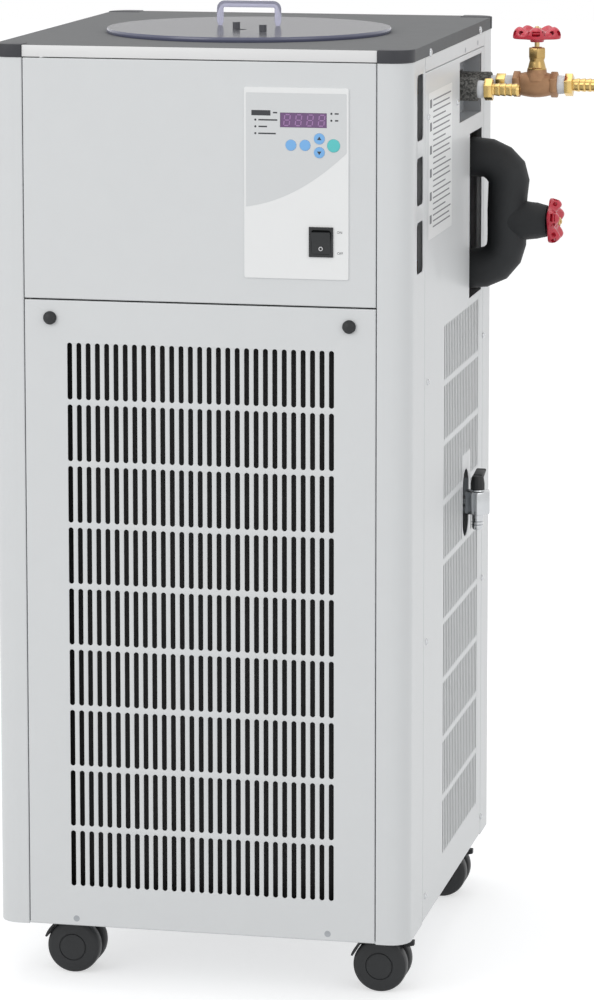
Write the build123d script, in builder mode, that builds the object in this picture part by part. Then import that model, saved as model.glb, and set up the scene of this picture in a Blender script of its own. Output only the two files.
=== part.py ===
from build123d import *
import math
import os

os.makedirs("parts", exist_ok=True)

# Cabinet envelope, in millimetres
cab_width = 446
cab_depth = 515
bottom_z = 68.5
deck_z = 1008
corner_r = 22
skin = 1.6
panel_skin = 1.2
fold = 6
seam = 1
seat_gap = 0.2
run_gap = 0.1

# Corner posts: width of the front and rear flanges, depth of the side flanges
post_face = 34.8
front_post_side = 84.4
rear_post_side = 66
post_top_z = 995
grip_hole = (36, 6)
grip_hole_y = 56
grip_hole_spans = ((911, 980), (844, 894), (773, 827))

# Front panels and the slotted grille
split_z = 742.4
upper_top_z = 995.2
slot_columns = 29
slot_rows = 9
slot_pitch = 9.985
row_pitch = 65.5
slot_size = (5.5, 60.5)
slot_first_top_z = 697.3
slot_shift_x = 1.1
knob_x = 159.5
knob_z = 723
knob_r = 7
knob_reach = 6.5
knob_shank_r = 3.9

# Right side panel: vents, recess of the hose ports, bypass cutout, drain hole
side_top_z = 978.9
side_vent_columns = 22
side_vent_first_y = 205
side_vent_pitch = 10
recess_span_y = (290, 430)
recess_span_z = (907, 973)
recess_depth = 20
bypass_cut_y = (357, 436)
bypass_cut_z = (705, 889)
drain_hole_y = (321, 362)
drain_hole_z = (440, 516)

# Deck, lid and bath
deck_thick = 2.5
trim_z = 996
trim_thick = 2
cap_proud = 1
cap_top = 0.8
cap_side = 24
cap_bottom_z = 995.3
bath_x = 3
bath_y = 226
bath_r = 127
bath_wall = 1.2
bath_floor_z = 745
bath_rim_r = 140
jacket = 3
jacket_span_z = (790, 925)
foam_r = 148
lid_r = 154
lid_thick = 5.5
lid_handle_size = (71.5, 27.5)
lid_handle_window = (55, 19.5)
lid_handle_thick = 9
lid_handle_y = 240
peg_spots = ((-4, 195), (33, 160))
peg_size = (4, 7.5)

# Inner shelf and machinery
shelf_z = 722
shelf_thick = 2
pan_z = 69
pan_thick = 2.5
condenser_size = (340, 40, 640)
condenser_y = 20
condenser_x = -10
fan_r = 140
fan_y = 66
motor_y = 92
motor_size = (36, 36)
compressor_x = 60
compressor_y = cab_depth - 155
compressor_r = 76
compressor_h = 215
pump_x = 70
pump_y = cab_depth - 75

# Control panel and what it carries
panel_x = (49.3, 158.9)
panel_z = (771.5, 969)
panel_thick = 1.5
display_x = (87.1, 136.2)
display_z = (928, 943.3)
key_spots = {"key_pump": (98.6, 909.8, 5.8), "key_set": (113.4, 909.9, 5.8),
             "key_up": (128.4, 916.9, 5.8), "key_down": (128.4, 902.7, 5.8),
             "key_start": (143.3, 910, 6.9)}
key_proud = 0.6
key_play = 0.15
board_y = 7
board_thick = 1.6
board_z = (880, 960)
bezel_x = (117.6, 142.9)
bezel_z = (794.8, 825.8)
bezel_proud = 1.4
rocker_size = (19.8, 24.3)
rocker_tilt = 8
rocker_play = 0.3

# Hose lines: shared height, depths of the two axes, pipe and sleeve
port_z = 941.6
return_y = 322
outlet_y = 397
pipe_r = 7
sleeve_r = 13
return_sleeve_end = 238
outlet_sleeve_end = 240.3
return_hex = (245.4, 254.5, 21.6)
return_tip = 283.7
barb_r = 7.15
nipple_hex = (246, 256.4, 20)
valve_span = (265, 314.9)
valve_hex_width = 8
valve_r = 14.8
bonnet_r = 10.3
bonnet_top_z = 971
valve_x = 291
packing_top_z = 982.6
stem_r = 2.8
wheel_r = 27.5
wheel_lobes = 5
rim_thick = 7
wheel_nut = 3
wheel_z = (988.7, 1006.4)
nozzle_hex = (323.1, 331.7, 22.5)
nozzle_tip = 360.6

# Insulated bypass loop and its hand valve
loop_x = 258.7
loop_top_z = 859.4
loop_low_z = 733.4
loop_r = 21.9
loop_bend = 30
loop_inner_x = 196
branch_z = 789
branch_end = 304.5
branch_r = (22, 17.5)
bypass_wheel_x = (305.2, 323.8)
bypass_wheel_r = 26

# Drain valve below the bath
drain_x = 236.5
drain_y = 341
drain_hex_z = (466.3, 492)
drain_hex_af = 27
drain_tip_z = 448.3
drain_knob_z = (492.4, 509.8)
drain_knob_r = 7.6
drain_plate_x = 214

# Twin wheel casters
caster_x = 168.5
caster_rows_y = (74, 441)
caster_trail = 13.7
wheel_d = 58
tread = 17
wheel_gap = 10
axle_r = 4
stem_top_z = 66.3
pin_r = 5
brake_x = 12
brake_z = 47

# Rear side
gland_x = -120
gland_z = 110
gland_reach = 12
louvre_z = 330
louvre_spacing = 150

# Object frame: the origin lies under the middle of the overall box
left_reach = cab_width / 2 + cap_proud
cab_x = (left_reach - nozzle_tip) / 2
front_y = (knob_reach - cab_depth - gland_reach) / 2
half = cab_width / 2
side_in = half - skin

floor = Plane(origin=(cab_x, front_y, 0))
front = Plane(origin=(cab_x, front_y, 0), x_dir=(1, 0, 0), z_dir=(0, -1, 0))
right = Plane(origin=(cab_x + half, front_y, 0), x_dir=(0, 1, 0), z_dir=(1, 0, 0))
rear = Plane(origin=(cab_x, front_y + cab_depth, 0), x_dir=(-1, 0, 0), z_dir=(0, 1, 0))


def save(piece, name):
    piece.part.label = name
    export_step(piece.part, f"parts/{name}.step")


def along_x(y, z):
    """Plane through a line parallel to X, for profiles turned about that line."""
    return Plane(origin=(cab_x, front_y + y, z), x_dir=(1, 0, 0), z_dir=(0, -1, 0))


def across_x(x, y, z):
    """Plane square to X at a point, for prisms that run along X."""
    return Plane(origin=(cab_x + x, front_y + y, z), x_dir=(0, 1, 0), z_dir=(1, 0, 0))


def upright(x, y):
    """Plane through a vertical line, local x up, for profiles turned about that line."""
    return Plane(origin=(cab_x + x, front_y + y, 0), x_dir=(0, 0, 1), z_dir=(0, -1, 0))


def turn(plane, points, mode=Mode.ADD):
    """Turned solid: points are (along the axis, radius)."""
    with BuildSketch(plane) as section:
        with BuildLine():
            Polyline(*points, close=True)
        make_face()
    revolve(section.sketch, axis=Axis(plane.origin, plane.x_dir), mode=mode)


def rect_between(a, b, c, d, mode=Mode.ADD):
    """Rectangle from its two limits on each local axis."""
    with Locations(((a + b) / 2, (c + d) / 2)):
        Rectangle(b - a, d - c, mode=mode)


# Base pan with the swivel plates of the casters welded under it
with BuildPart() as base_pan:
    with BuildSketch(floor.offset(pan_z)):
        with Locations((0, cab_depth / 2)):
            RectangleRounded(cab_width - 2 * (skin + seat_gap), cab_depth - 2 * (skin + seat_gap),
                             corner_r - skin)
    extrude(amount=pan_thick)
    for caster_spot in [(side * caster_x, row_y) for side in (-1, 1) for row_y in caster_rows_y]:
        with BuildSketch(floor.offset(stem_top_z)):
            with Locations(caster_spot):
                Rectangle(50, 50)
        extrude(amount=pan_z - stem_top_z)
        with BuildSketch(floor.offset(stem_top_z)):
            with Locations(caster_spot):
                Circle(pin_r + run_gap / 2)
        extrude(amount=pan_z - stem_top_z, mode=Mode.SUBTRACT)
save(base_pan, "base_pan")
pan_top_z = pan_z + pan_thick


# Corner posts: folded sheet with a round outer corner and a return on each edge
with BuildPart() as corner_posts:
    for side, at_rear in ((-1, False), (1, False), (-1, True), (1, True)):
        inner = half - post_face
        face_y = cab_depth if at_rear else 0
        inward = -1 if at_rear else 1
        end_y = face_y + inward * (rear_post_side if at_rear else front_post_side)
        with BuildSketch(floor.offset(bottom_z)):
            with BuildLine():
                FilletPolyline((side * inner, face_y), (side * half, face_y), (side * half, end_y),
                               radius=corner_r)
                Line((side * half, end_y), (side * side_in, end_y))
                FilletPolyline((side * side_in, end_y), (side * side_in, face_y + inward * skin),
                               (side * inner, face_y + inward * skin), radius=corner_r - skin)
                Line((side * inner, face_y + inward * skin), (side * inner, face_y))
            make_face()
        extrude(amount=post_top_z - bottom_z)
        with BuildSketch(floor.offset(pan_top_z)):
            y_near, y_far = sorted((face_y + inward * skin, face_y + inward * (skin + fold)))
            x_near, x_far = sorted((side * inner, side * (inner + skin)))
            rect_between(x_near, x_far, y_near, y_far)
            y_near, y_far = sorted((end_y, end_y - inward * skin))
            x_near, x_far = sorted((side * side_in, side * (side_in - fold)))
            rect_between(x_near, x_far, y_near, y_far)
        extrude(amount=post_top_z - pan_top_z - 2)
    for hole_side in (seam, seam - cab_width):
        with BuildSketch(right.offset(hole_side)):
            for low, high in grip_hole_spans:
                with Locations((grip_hole_y, (low + high) / 2)):
                    RectangleRounded(grip_hole[0], high - low, grip_hole[1])
        extrude(amount=-2 * skin, mode=Mode.SUBTRACT)
save(corner_posts, "corner_posts")

side_low_y = front_post_side + seam
side_high_y = cab_depth - rear_post_side - seam

# Side rails between the post tops, each with an upstand under the deck
with BuildPart() as top_rails:
    with BuildSketch(front.offset(-side_low_y)):
        for side in (-1, 1):
            for near, far, low, high in ((side_in, half, side_top_z + seam, post_top_z),
                                         (side_in - 20, side_in, post_top_z - skin, post_top_z),
                                         (side_in - 2 * skin, side_in - skin, post_top_z,
                                          deck_z - deck_thick)):
                with Locations((side * (near + far) / 2, (low + high) / 2)):
                    Rectangle(far - near, high - low)
    extrude(amount=-(side_high_y - side_low_y))
save(top_rails, "top_rails")


# Side, rear and front panels: sheets with a folded return on each upright edge
def add_returns(plane, low, high, z_low, z_high):
    with BuildSketch(plane.offset(-panel_skin)) as edges:
        rect_between(low, low + panel_skin, z_low, z_high)
        rect_between(high - panel_skin, high, z_low, z_high)
    extrude(edges.sketch, amount=-(fold - panel_skin))


slot_centre_z = slot_first_top_z - slot_size[1] / 2 - (slot_rows - 1) * row_pitch / 2
vent_centre_y = side_vent_first_y + (side_vent_columns - 1) * side_vent_pitch / 2

with BuildPart() as side_panel_right:
    with BuildSketch(right):
        rect_between(side_low_y, side_high_y, bottom_z + seam, side_top_z)
        rect_between(*recess_span_y, *recess_span_z, mode=Mode.SUBTRACT)
        rect_between(*bypass_cut_y, *bypass_cut_z, mode=Mode.SUBTRACT)
        with Locations((vent_centre_y, slot_centre_z)):
            with GridLocations(side_vent_pitch, row_pitch, side_vent_columns, slot_rows):
                Rectangle(*slot_size, mode=Mode.SUBTRACT)
        with Locations((sum(drain_hole_y) / 2, sum(drain_hole_z) / 2)):
            Rectangle(drain_hole_y[1] - drain_hole_y[0] + 12, drain_hole_z[1] - drain_hole_z[0] + 10)
            SlotOverall(drain_hole_z[1] - drain_hole_z[0], drain_hole_y[1] - drain_hole_y[0],
                        rotation=90, mode=Mode.SUBTRACT)
    extrude(amount=-panel_skin)
    add_returns(right, side_low_y, side_high_y, pan_top_z, side_top_z)
save(side_panel_right, "side_panel_right")

with BuildPart() as side_panel_left:
    with BuildSketch(right.offset(-cab_width)):
        rect_between(side_low_y, side_high_y, bottom_z + seam, side_top_z)
    extrude(amount=panel_skin)
    with BuildSketch(right.offset(panel_skin - cab_width)):
        rect_between(side_low_y, side_low_y + panel_skin, pan_top_z, side_top_z)
        rect_between(side_high_y - panel_skin, side_high_y, pan_top_z, side_top_z)
    extrude(amount=fold - panel_skin)
save(side_panel_left, "side_panel_left")

panel_half = half - post_face - seam
with BuildPart() as rear_panel:
    with BuildSketch(rear):
        rect_between(-panel_half, panel_half, bottom_z + seam, upper_top_z)
        with Locations((0, louvre_z)):
            with GridLocations(louvre_spacing, 22, 2, 8):
                Rectangle(louvre_spacing - 30, 8, mode=Mode.SUBTRACT)
        with Locations((-gland_x, gland_z)):
            Circle(8 + seat_gap, mode=Mode.SUBTRACT)
    extrude(amount=-panel_skin)
    add_returns(rear, -panel_half, panel_half, pan_top_z, upper_top_z)
save(rear_panel, "rear_panel")

with BuildPart() as cord_gland:
    gland_axis = Plane(origin=(cab_x + gland_x, front_y + cab_depth, gland_z),
                       x_dir=(0, 1, 0), z_dir=(1, 0, 0))
    turn(gland_axis, ((-8, 4.5), (-8, 8), (0, 8), (0, 12), (4, 12), (6, 9), (gland_reach, 7),
                      (gland_reach, 4.5)))
save(cord_gland, "cord_gland")

with BuildPart() as upper_front_panel:
    with BuildSketch(front):
        rect_between(-panel_half, panel_half, split_z + seam / 2, upper_top_z)
        rect_between(panel_x[0] + 6, panel_x[1] - 6, panel_z[0] + 6, panel_z[1] - 6, mode=Mode.SUBTRACT)
    extrude(amount=-panel_skin)
    add_returns(front, -panel_half, panel_half, split_z + seam / 2, upper_top_z)
save(upper_front_panel, "upper_front_panel")

with BuildPart() as lower_front_panel:
    with BuildSketch(front):
        rect_between(-panel_half, panel_half, bottom_z + seam / 2, split_z - seam / 2)
        with Locations((slot_shift_x, slot_centre_z)):
            with GridLocations(slot_pitch, row_pitch, slot_columns, slot_rows):
                Rectangle(*slot_size, mode=Mode.SUBTRACT)
        with Locations((-knob_x, knob_z), (knob_x, knob_z)):
            Circle(knob_shank_r + run_gap, mode=Mode.SUBTRACT)
    extrude(amount=-panel_skin)
    add_returns(front, -panel_half, panel_half, pan_top_z + seam, split_z - seam / 2)
save(lower_front_panel, "lower_front_panel")

for knob_name, knob_side in (("left", -1), ("right", 1)):
    with BuildPart() as panel_knob:
        knob_axis = Plane(origin=(cab_x + knob_side * knob_x, front_y, knob_z),
                          x_dir=(0, -1, 0), z_dir=(1, 0, 0))
        turn(knob_axis, ((-8, 0), (-8, knob_shank_r), (run_gap, knob_shank_r), (run_gap, knob_r),
                         (2.5, knob_r), (4.8, knob_r - 1.6), (knob_reach, 3), (knob_reach, 0)))
        with BuildSketch(front.offset(-6)):
            with Locations((knob_side * knob_x, knob_z)):
                Rectangle(11, 3)
        extrude(amount=-2)
    save(panel_knob, f"panel_knob_{knob_name}")

# Deck plate with its side and rear lips, the front trim and the four corner caps
trim_half = half - post_face
with BuildPart() as top_plate:
    with BuildSketch(floor.offset(deck_z - deck_thick)):
        with Locations((0, cab_depth / 2)):
            RectangleRounded(cab_width, cab_depth, corner_r)
        rect_between(-trim_half, trim_half, -1, trim_thick, mode=Mode.SUBTRACT)
        with Locations((bath_x, bath_y)):
            Circle(bath_r, mode=Mode.SUBTRACT)
    extrude(amount=deck_thick)
    with BuildSketch(floor.offset(cap_bottom_z)):
        for lip_side in (-1, 1):
            with Locations((lip_side * (half - skin / 2), cab_depth / 2)):
                Rectangle(skin, cab_depth - 2 * cap_side - 2 * seat_gap)
        with Locations((0, cab_depth - skin / 2)):
            Rectangle(2 * trim_half - 2 * seat_gap, skin)
    extrude(amount=deck_z - deck_thick - cap_bottom_z)
save(top_plate, "top_plate")

with BuildPart() as front_trim:
    with BuildSketch(floor.offset(trim_z)):
        rect_between(-trim_half + seat_gap, trim_half - seat_gap, 0, 20)
    extrude(amount=skin)
    with BuildSketch(floor.offset(trim_z)):
        rect_between(-trim_half + seat_gap, trim_half - seat_gap, 0, trim_thick)
    extrude(amount=deck_z - trim_z)
save(front_trim, "front_trim")

with BuildPart() as corner_caps:
    with BuildSketch(floor.offset(cap_bottom_z)):
        with Locations((0, cab_depth / 2)):
            RectangleRounded(cab_width + 2 * cap_proud, cab_depth + 2 * cap_proud, corner_r + cap_proud)
            Rectangle(2 * trim_half, cab_depth + 4, mode=Mode.SUBTRACT)
            Rectangle(cab_width + 4, cab_depth - 2 * cap_side, mode=Mode.SUBTRACT)
    extrude(amount=deck_z + cap_top - cap_bottom_z)
    with BuildSketch(floor.offset(cap_bottom_z)):
        with Locations((0, cab_depth / 2)):
            RectangleRounded(cab_width, cab_depth, corner_r)
    extrude(amount=deck_z - cap_bottom_z, mode=Mode.SUBTRACT)
save(corner_caps, "corner_caps")

# Bath: tank with its rim under the deck and a welded cooling jacket, then the foam round it
bath_axis = upright(bath_x, bath_y)
tank_out = bath_r + bath_wall
tank_floor = bath_floor_z - bath_wall
rim_top = deck_z - deck_thick
foam_floor = shelf_z + shelf_thick


def bore_through_bath():
    """Ports through the bath wall: return pipe at the top, pump suction near the floor."""
    with BuildSketch(across_x(bath_x, return_y, port_z)) as return_bore:
        Circle(pipe_r + run_gap)
    extrude(return_bore.sketch, amount=foam_r + 10, mode=Mode.SUBTRACT)
    with BuildSketch(Plane(origin=(cab_x + pump_x, front_y + bath_y, bath_floor_z + 30),
                           x_dir=(1, 0, 0), z_dir=(0, -1, 0))) as suction_bore:
        Circle(pipe_r + run_gap)
    extrude(suction_bore.sketch, amount=-foam_r - 10, mode=Mode.SUBTRACT)


with BuildPart() as bath_tank:
    turn(bath_axis, ((tank_floor, 0), (tank_floor, tank_out), (jacket_span_z[0], tank_out),
                     (jacket_span_z[0], tank_out + jacket), (jacket_span_z[1], tank_out + jacket),
                     (jacket_span_z[1], tank_out), (rim_top - bath_wall, tank_out),
                     (rim_top - bath_wall, bath_rim_r), (rim_top, bath_rim_r), (rim_top, bath_r),
                     (bath_floor_z, bath_r), (bath_floor_z, 0)))
    bore_through_bath()
save(bath_tank, "bath_tank")

with BuildPart() as bath_foam:
    foam_in = tank_out + jacket + run_gap
    turn(bath_axis, ((foam_floor, 0), (foam_floor, foam_r), (rim_top - 10, foam_r),
                     (rim_top - 10, foam_in), (tank_floor, foam_in), (tank_floor, 0)))
    bore_through_bath()
save(bath_foam, "bath_foam")

# Lid: clear disc with two pegs, and its D handle
lid_top = deck_z + lid_thick
with BuildPart() as lid:
    with BuildSketch(floor.offset(deck_z)):
        with Locations((bath_x, bath_y)):
            Circle(lid_r)
        with Locations((bath_x, 185)):
            Circle(6.5, mode=Mode.SUBTRACT)
    extrude(amount=lid_thick)
    with BuildSketch(floor.offset(lid_top)):
        with Locations(*peg_spots):
            Circle(peg_size[0])
    extrude(amount=peg_size[1])
save(lid, "lid")

with BuildPart() as lid_handle:
    wide, high = lid_handle_size
    leg = (wide - lid_handle_window[0]) / 2
    with BuildSketch(front.offset(-lid_handle_y)):
        with Locations((0, lid_top + high / 2)):
            Rectangle(wide, high)
        fillet(vertices().group_by(Axis.Z)[-1], 5)
        with Locations((0, lid_top + lid_handle_window[1] / 2)):
            Rectangle(*lid_handle_window, mode=Mode.SUBTRACT)
    extrude(amount=lid_handle_thick / 2, both=True)
save(lid_handle, "lid_handle")

# Shelf under the bath, cut back round the lower branch of the bypass
with BuildPart() as bath_shelf:
    with BuildSketch(floor.offset(shelf_z)):
        rect_between(-side_in + fold, side_in - fold, fold + skin + seat_gap + 2, cab_depth - fold - skin - 2)
        rect_between(loop_inner_x - 12, half, outlet_y - loop_r - 4, outlet_y + loop_r + 4, mode=Mode.SUBTRACT)
        rect_between(170, 200, drain_y - 14, drain_y + 14, mode=Mode.SUBTRACT)
    extrude(amount=shelf_thick)
save(bath_shelf, "bath_shelf")

# Refrigeration set on the base pan
with BuildPart() as condenser:
    with BuildSketch(floor.offset(pan_top_z)):
        with Locations((condenser_x, condenser_y + condenser_size[1] / 2)):
            Rectangle(condenser_size[0], condenser_size[1] - 8)
    extrude(amount=condenser_size[2])
    with BuildSketch(floor.offset(pan_top_z)):
        with Locations((condenser_x, condenser_y + condenser_size[1] / 2)):
            with GridLocations(condenser_size[0] + 2, 0, 2, 1):
                Rectangle(2, condenser_size[1])
    extrude(amount=condenser_size[2])
save(condenser, "condenser")

fan_z = pan_top_z + condenser_size[2] / 2
shroud_y = condenser_y + condenser_size[1]
fan_axis = Plane(origin=(cab_x + condenser_x, front_y, fan_z), x_dir=(0, 1, 0), z_dir=(1, 0, 0))
strap_y = motor_y + motor_size[1]
shroud_half = (condenser_size[0] + 4) / 2
with BuildPart() as fan_shroud:
    with BuildSketch(front.offset(-shroud_y)):
        with Locations((condenser_x, fan_z)):
            Rectangle(2 * shroud_half, condenser_size[2])
            Circle(fan_r + 6, mode=Mode.SUBTRACT)
    extrude(amount=-skin)
    with BuildSketch(front.offset(-strap_y)):
        with Locations((condenser_x, fan_z)):
            Rectangle(30, 2 * fan_r + 40)
    extrude(amount=-skin)
    with BuildSketch(front.offset(-shroud_y - skin)):
        for leg_side in (-1, 1):
            with Locations((condenser_x, fan_z + leg_side * (fan_r + 20 - skin / 2))):
                Rectangle(30, skin)
    extrude(amount=-(strap_y - shroud_y - skin))
save(fan_shroud, "fan_shroud")

with BuildPart() as fan_motor:
    turn(fan_axis, ((fan_y + 2, 0), (fan_y + 2, 4), (motor_y, 4), (motor_y, motor_size[0]),
                    (strap_y, motor_size[0]), (strap_y, 0)))
save(fan_motor, "fan_motor")

blade_tilt = 28
blade_chord = 40
with BuildPart() as fan_blades:
    turn(fan_axis, ((fan_y, 0), (fan_y, 24), (fan_y + 20, 24), (fan_y + 20, 4 + run_gap),
                    (fan_y + 2 - run_gap, 4 + run_gap), (fan_y + 2 - run_gap, 0)))
    for spoke_angle in range(0, 360, 72):
        away = Vector(1, 0, 0).rotate(Axis.Y, spoke_angle)
        chord = Vector(0, 0, 1).rotate(Axis.Y, spoke_angle).rotate(Axis((0, 0, 0), away), blade_tilt)
        spoke = Plane(origin=(cab_x + condenser_x, front_y + fan_y + 10, fan_z), x_dir=chord, z_dir=away)
        with BuildSketch(spoke.offset(20)):
            Rectangle(blade_chord, 2.4)
        extrude(amount=fan_r - 20)
save(fan_blades, "fan_blades")

with BuildPart() as compressor:
    with BuildSketch(floor.offset(pan_top_z)):
        with Locations((compressor_x, compressor_y)):
            RectangleRounded(2 * compressor_r + 30, 130, 12)
    extrude(amount=3)
    dome = compressor_r * 0.6
    turn(upright(compressor_x, compressor_y),
         ((pan_top_z + 3, 0), (pan_top_z + 3, dome), (pan_top_z + 22, compressor_r),
          (pan_top_z + compressor_h - 30, compressor_r), (pan_top_z + compressor_h - 8, dome),
          (pan_top_z + compressor_h, 20), (pan_top_z + compressor_h, 0)))
save(compressor, "compressor")

# Circulation pump on the shelf; suction, return, delivery, bypass and drain pipes
pump_floor = shelf_z + shelf_thick
pump_top = 860
with BuildPart() as circulation_pump:
    turn(upright(pump_x, pump_y), ((pump_floor, 0), (pump_floor, 30), (pump_floor + 12, 30),
                                   (pump_floor + 12, 42), (pump_floor + 72, 42),
                                   (pump_floor + 72, 36), (pump_top, 36), (pump_top, 0)))
    with BuildSketch(across_x(pump_x, outlet_y + 12, bath_floor_z + 30)):
        Circle(10)
    extrude(amount=66)
save(circulation_pump, "circulation_pump")

riser_x = pump_x + 66 - 10
drain_mid_z = sum(drain_hex_z) / 2
drain_riser_x = 176
with BuildPart() as water_pipes:
    with BuildSketch(front.offset(-(bath_y + 112))):
        with Locations((pump_x, bath_floor_z + 30)):
            Circle(pipe_r)
    extrude(amount=-(pump_y - 42 - bath_y - 112))
    with BuildSketch(across_x(bath_x + 80, return_y, port_z)):
        Circle(pipe_r)
    extrude(amount=return_sleeve_end - bath_x - 80)
    with BuildLine() as outlet_route:
        FilletPolyline((cab_x + riser_x, front_y + outlet_y, bath_floor_z + 43),
                       (cab_x + riser_x, front_y + outlet_y, port_z),
                       (cab_x + outlet_sleeve_end, front_y + outlet_y, port_z), radius=22)
    with BuildSketch(Plane(origin=outlet_route.line @ 0, z_dir=(0, 0, 1))):
        Circle(pipe_r)
    sweep(path=outlet_route.line)
    for branch_level in (loop_top_z, loop_low_z):
        with BuildSketch(across_x(loop_inner_x, outlet_y, branch_level)):
            Circle(pipe_r)
        extrude(amount=-(loop_inner_x - riser_x - pipe_r))
    with BuildLine() as drain_route:
        FilletPolyline((cab_x + 200, front_y + drain_y, drain_mid_z),
                       (cab_x + drain_riser_x, front_y + drain_y, drain_mid_z),
                       (cab_x + drain_riser_x, front_y + drain_y, shelf_z - 2), radius=20)
    with BuildSketch(across_x(200, drain_y, drain_mid_z)):
        Circle(pipe_r)
    sweep(path=drain_route.line)
save(water_pipes, "water_pipes")

# Recess tray behind the side panel, with the openings of both insulated pipes
recess_x = half - recess_depth
wall_in = half - panel_skin
with BuildPart() as port_recess:
    with BuildSketch(across_x(wall_in, 0, 0)):
        rect_between(recess_span_y[0] - 4, recess_span_y[1] + 4, recess_span_z[0] - 4, recess_span_z[1] + 4)
    extrude(amount=-panel_skin)
    with BuildSketch(across_x(wall_in - panel_skin, 0, 0)):
        rect_between(recess_span_y[0] - 2, recess_span_y[1] + 2, recess_span_z[0] - 2, recess_span_z[1] + 2)
    extrude(amount=-(recess_depth - panel_skin))
    with BuildSketch(across_x(wall_in, 0, 0)):
        rect_between(*recess_span_y, *recess_span_z)
    extrude(amount=-(recess_depth - panel_skin), mode=Mode.SUBTRACT)
    with BuildSketch(across_x(wall_in, 0, 0)):
        with Locations((return_y, port_z)):
            Circle(sleeve_r + seat_gap)
        rect_between(outlet_y - sleeve_r - seat_gap, recess_span_y[1] - 3, port_z - sleeve_r - seat_gap,
                     port_z + sleeve_r + seat_gap)
    extrude(amount=-2 * recess_depth, mode=Mode.SUBTRACT)
save(port_recess, "port_recess")

with BuildPart() as pipe_sleeves:
    for sleeve_y, sleeve_end in ((return_y, return_sleeve_end), (outlet_y, outlet_sleeve_end)):
        with BuildSketch(across_x(recess_x - 24, sleeve_y, port_z)):
            with Locations((0, 0)):
                Circle(sleeve_r)
                Circle(pipe_r + run_gap, mode=Mode.SUBTRACT)
        extrude(amount=sleeve_end - recess_x + 24)
save(pipe_sleeves, "pipe_sleeves")


# Hose nozzle: threaded spigot, hexagon and ribbed barb in one turned brass piece
def nozzle(start, hexagon, tip, y, z):
    near, far, across_flats = hexagon
    ribs = 3
    pitch = (tip - far - 3) / ribs
    profile = [(start, 0), (start, pipe_r - 0.4), (far, pipe_r - 0.4), (far + 2, barb_r - 1)]
    for rib in range(ribs):
        profile.append((far + 3 + rib * pitch, barb_r))
        profile.append((far + 3 + (rib + 1) * pitch, barb_r - 1.3))
    profile.append((tip, 0))
    turn(along_x(y, z), profile)
    with BuildSketch(across_x(near, y, z)) as hexagon_face:
        RegularPolygon(across_flats / 2, 6, major_radius=False)
    extrude(hexagon_face.sketch, amount=far - near)


with BuildPart() as return_nozzle:
    nozzle(return_sleeve_end, return_hex, return_tip, return_y, port_z)
save(return_nozzle, "return_nozzle")

with BuildPart() as outlet_nipple:
    with BuildSketch(across_x(outlet_sleeve_end, outlet_y, port_z)):
        Circle(pipe_r)
    extrude(amount=valve_span[0] - outlet_sleeve_end)
    with BuildSketch(across_x(nipple_hex[0], outlet_y, port_z)):
        RegularPolygon(nipple_hex[2] / 2, 6, major_radius=False)
    extrude(amount=nipple_hex[1] - nipple_hex[0])
save(outlet_nipple, "outlet_nipple")

# Globe valve in the outlet line: cast body with its bonnet, packing nut, rising stem, handwheel
valve_axis = upright(valve_x, outlet_y)
stem_hole = stem_r + run_gap / 2
with BuildPart() as valve_body:
    turn(along_x(outlet_y, port_z),
         ((valve_span[0], 0), (valve_span[0], 12), (valve_x - 14, 12), (valve_x - 8, valve_r),
          (valve_x + 6, valve_r), (valve_x + 13, 12), (valve_span[1], 12), (valve_span[1], 0)))
    for hex_x in (valve_span[0], valve_span[1] - valve_hex_width):
        with BuildSketch(across_x(hex_x, outlet_y, port_z)):
            RegularPolygon(valve_r - 1.6, 6, major_radius=False)
        extrude(amount=valve_hex_width)
    with BuildSketch(floor.offset(port_z)):
        with Locations((valve_x, outlet_y)):
            Circle(bonnet_r + 0.9)
    extrude(amount=bonnet_top_z - 13 - port_z)
    with BuildSketch(floor.offset(port_z + 4)):
        with Locations((valve_x, outlet_y)):
            Circle(stem_r + run_gap)
    extrude(amount=40, mode=Mode.SUBTRACT)
    turn(valve_axis, ((bonnet_top_z - 13, stem_hole), (bonnet_top_z - 13, bonnet_r),
                      (bonnet_top_z - 3, bonnet_r), (bonnet_top_z, bonnet_r - 1.5),
                      (bonnet_top_z, stem_hole)))
save(valve_body, "outlet_valve_body")

with BuildPart() as packing_nut:
    with BuildSketch(floor.offset(bonnet_top_z)):
        with Locations((valve_x, outlet_y)):
            RegularPolygon(8.6, 6, major_radius=False)
            Circle(stem_hole, mode=Mode.SUBTRACT)
    extrude(amount=packing_top_z - bonnet_top_z)
save(packing_nut, "outlet_packing_nut")

with BuildPart() as outlet_stem:
    turn(valve_axis, ((port_z + 10, 0), (port_z + 10, stem_r), (wheel_z[1] - 4, stem_r),
                      (wheel_z[1] - 4, 0)))
save(outlet_stem, "outlet_stem")


# Handwheel: lobed rim with finger holes, hub skirt and clamping nut, bored for the stem
def handwheel(face, thick, radius, skirt, lobes):
    """The face plane lies on the rim's stem side; the skirt runs back from it."""
    with BuildSketch(face) as rim:
        Circle(radius - 3.5)
        with PolarLocations(radius - 7, lobes):
            Circle(7)
        with PolarLocations(radius * 0.6, lobes, start_angle=180 / lobes):
            Circle(radius * 0.17, mode=Mode.SUBTRACT)
    extrude(rim.sketch, amount=thick)
    with BuildSketch(face.offset(-skirt)) as hub:
        Circle(8)
    extrude(hub.sketch, amount=skirt + thick)
    with BuildSketch(face.offset(thick)) as nut:
        RegularPolygon(5, 6, major_radius=False)
    extrude(nut.sketch, amount=wheel_nut)
    with BuildSketch(face.offset(-skirt)) as bore:
        Circle(stem_r + run_gap / 2)
    extrude(bore.sketch, amount=skirt + thick - 1, mode=Mode.SUBTRACT)


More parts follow.
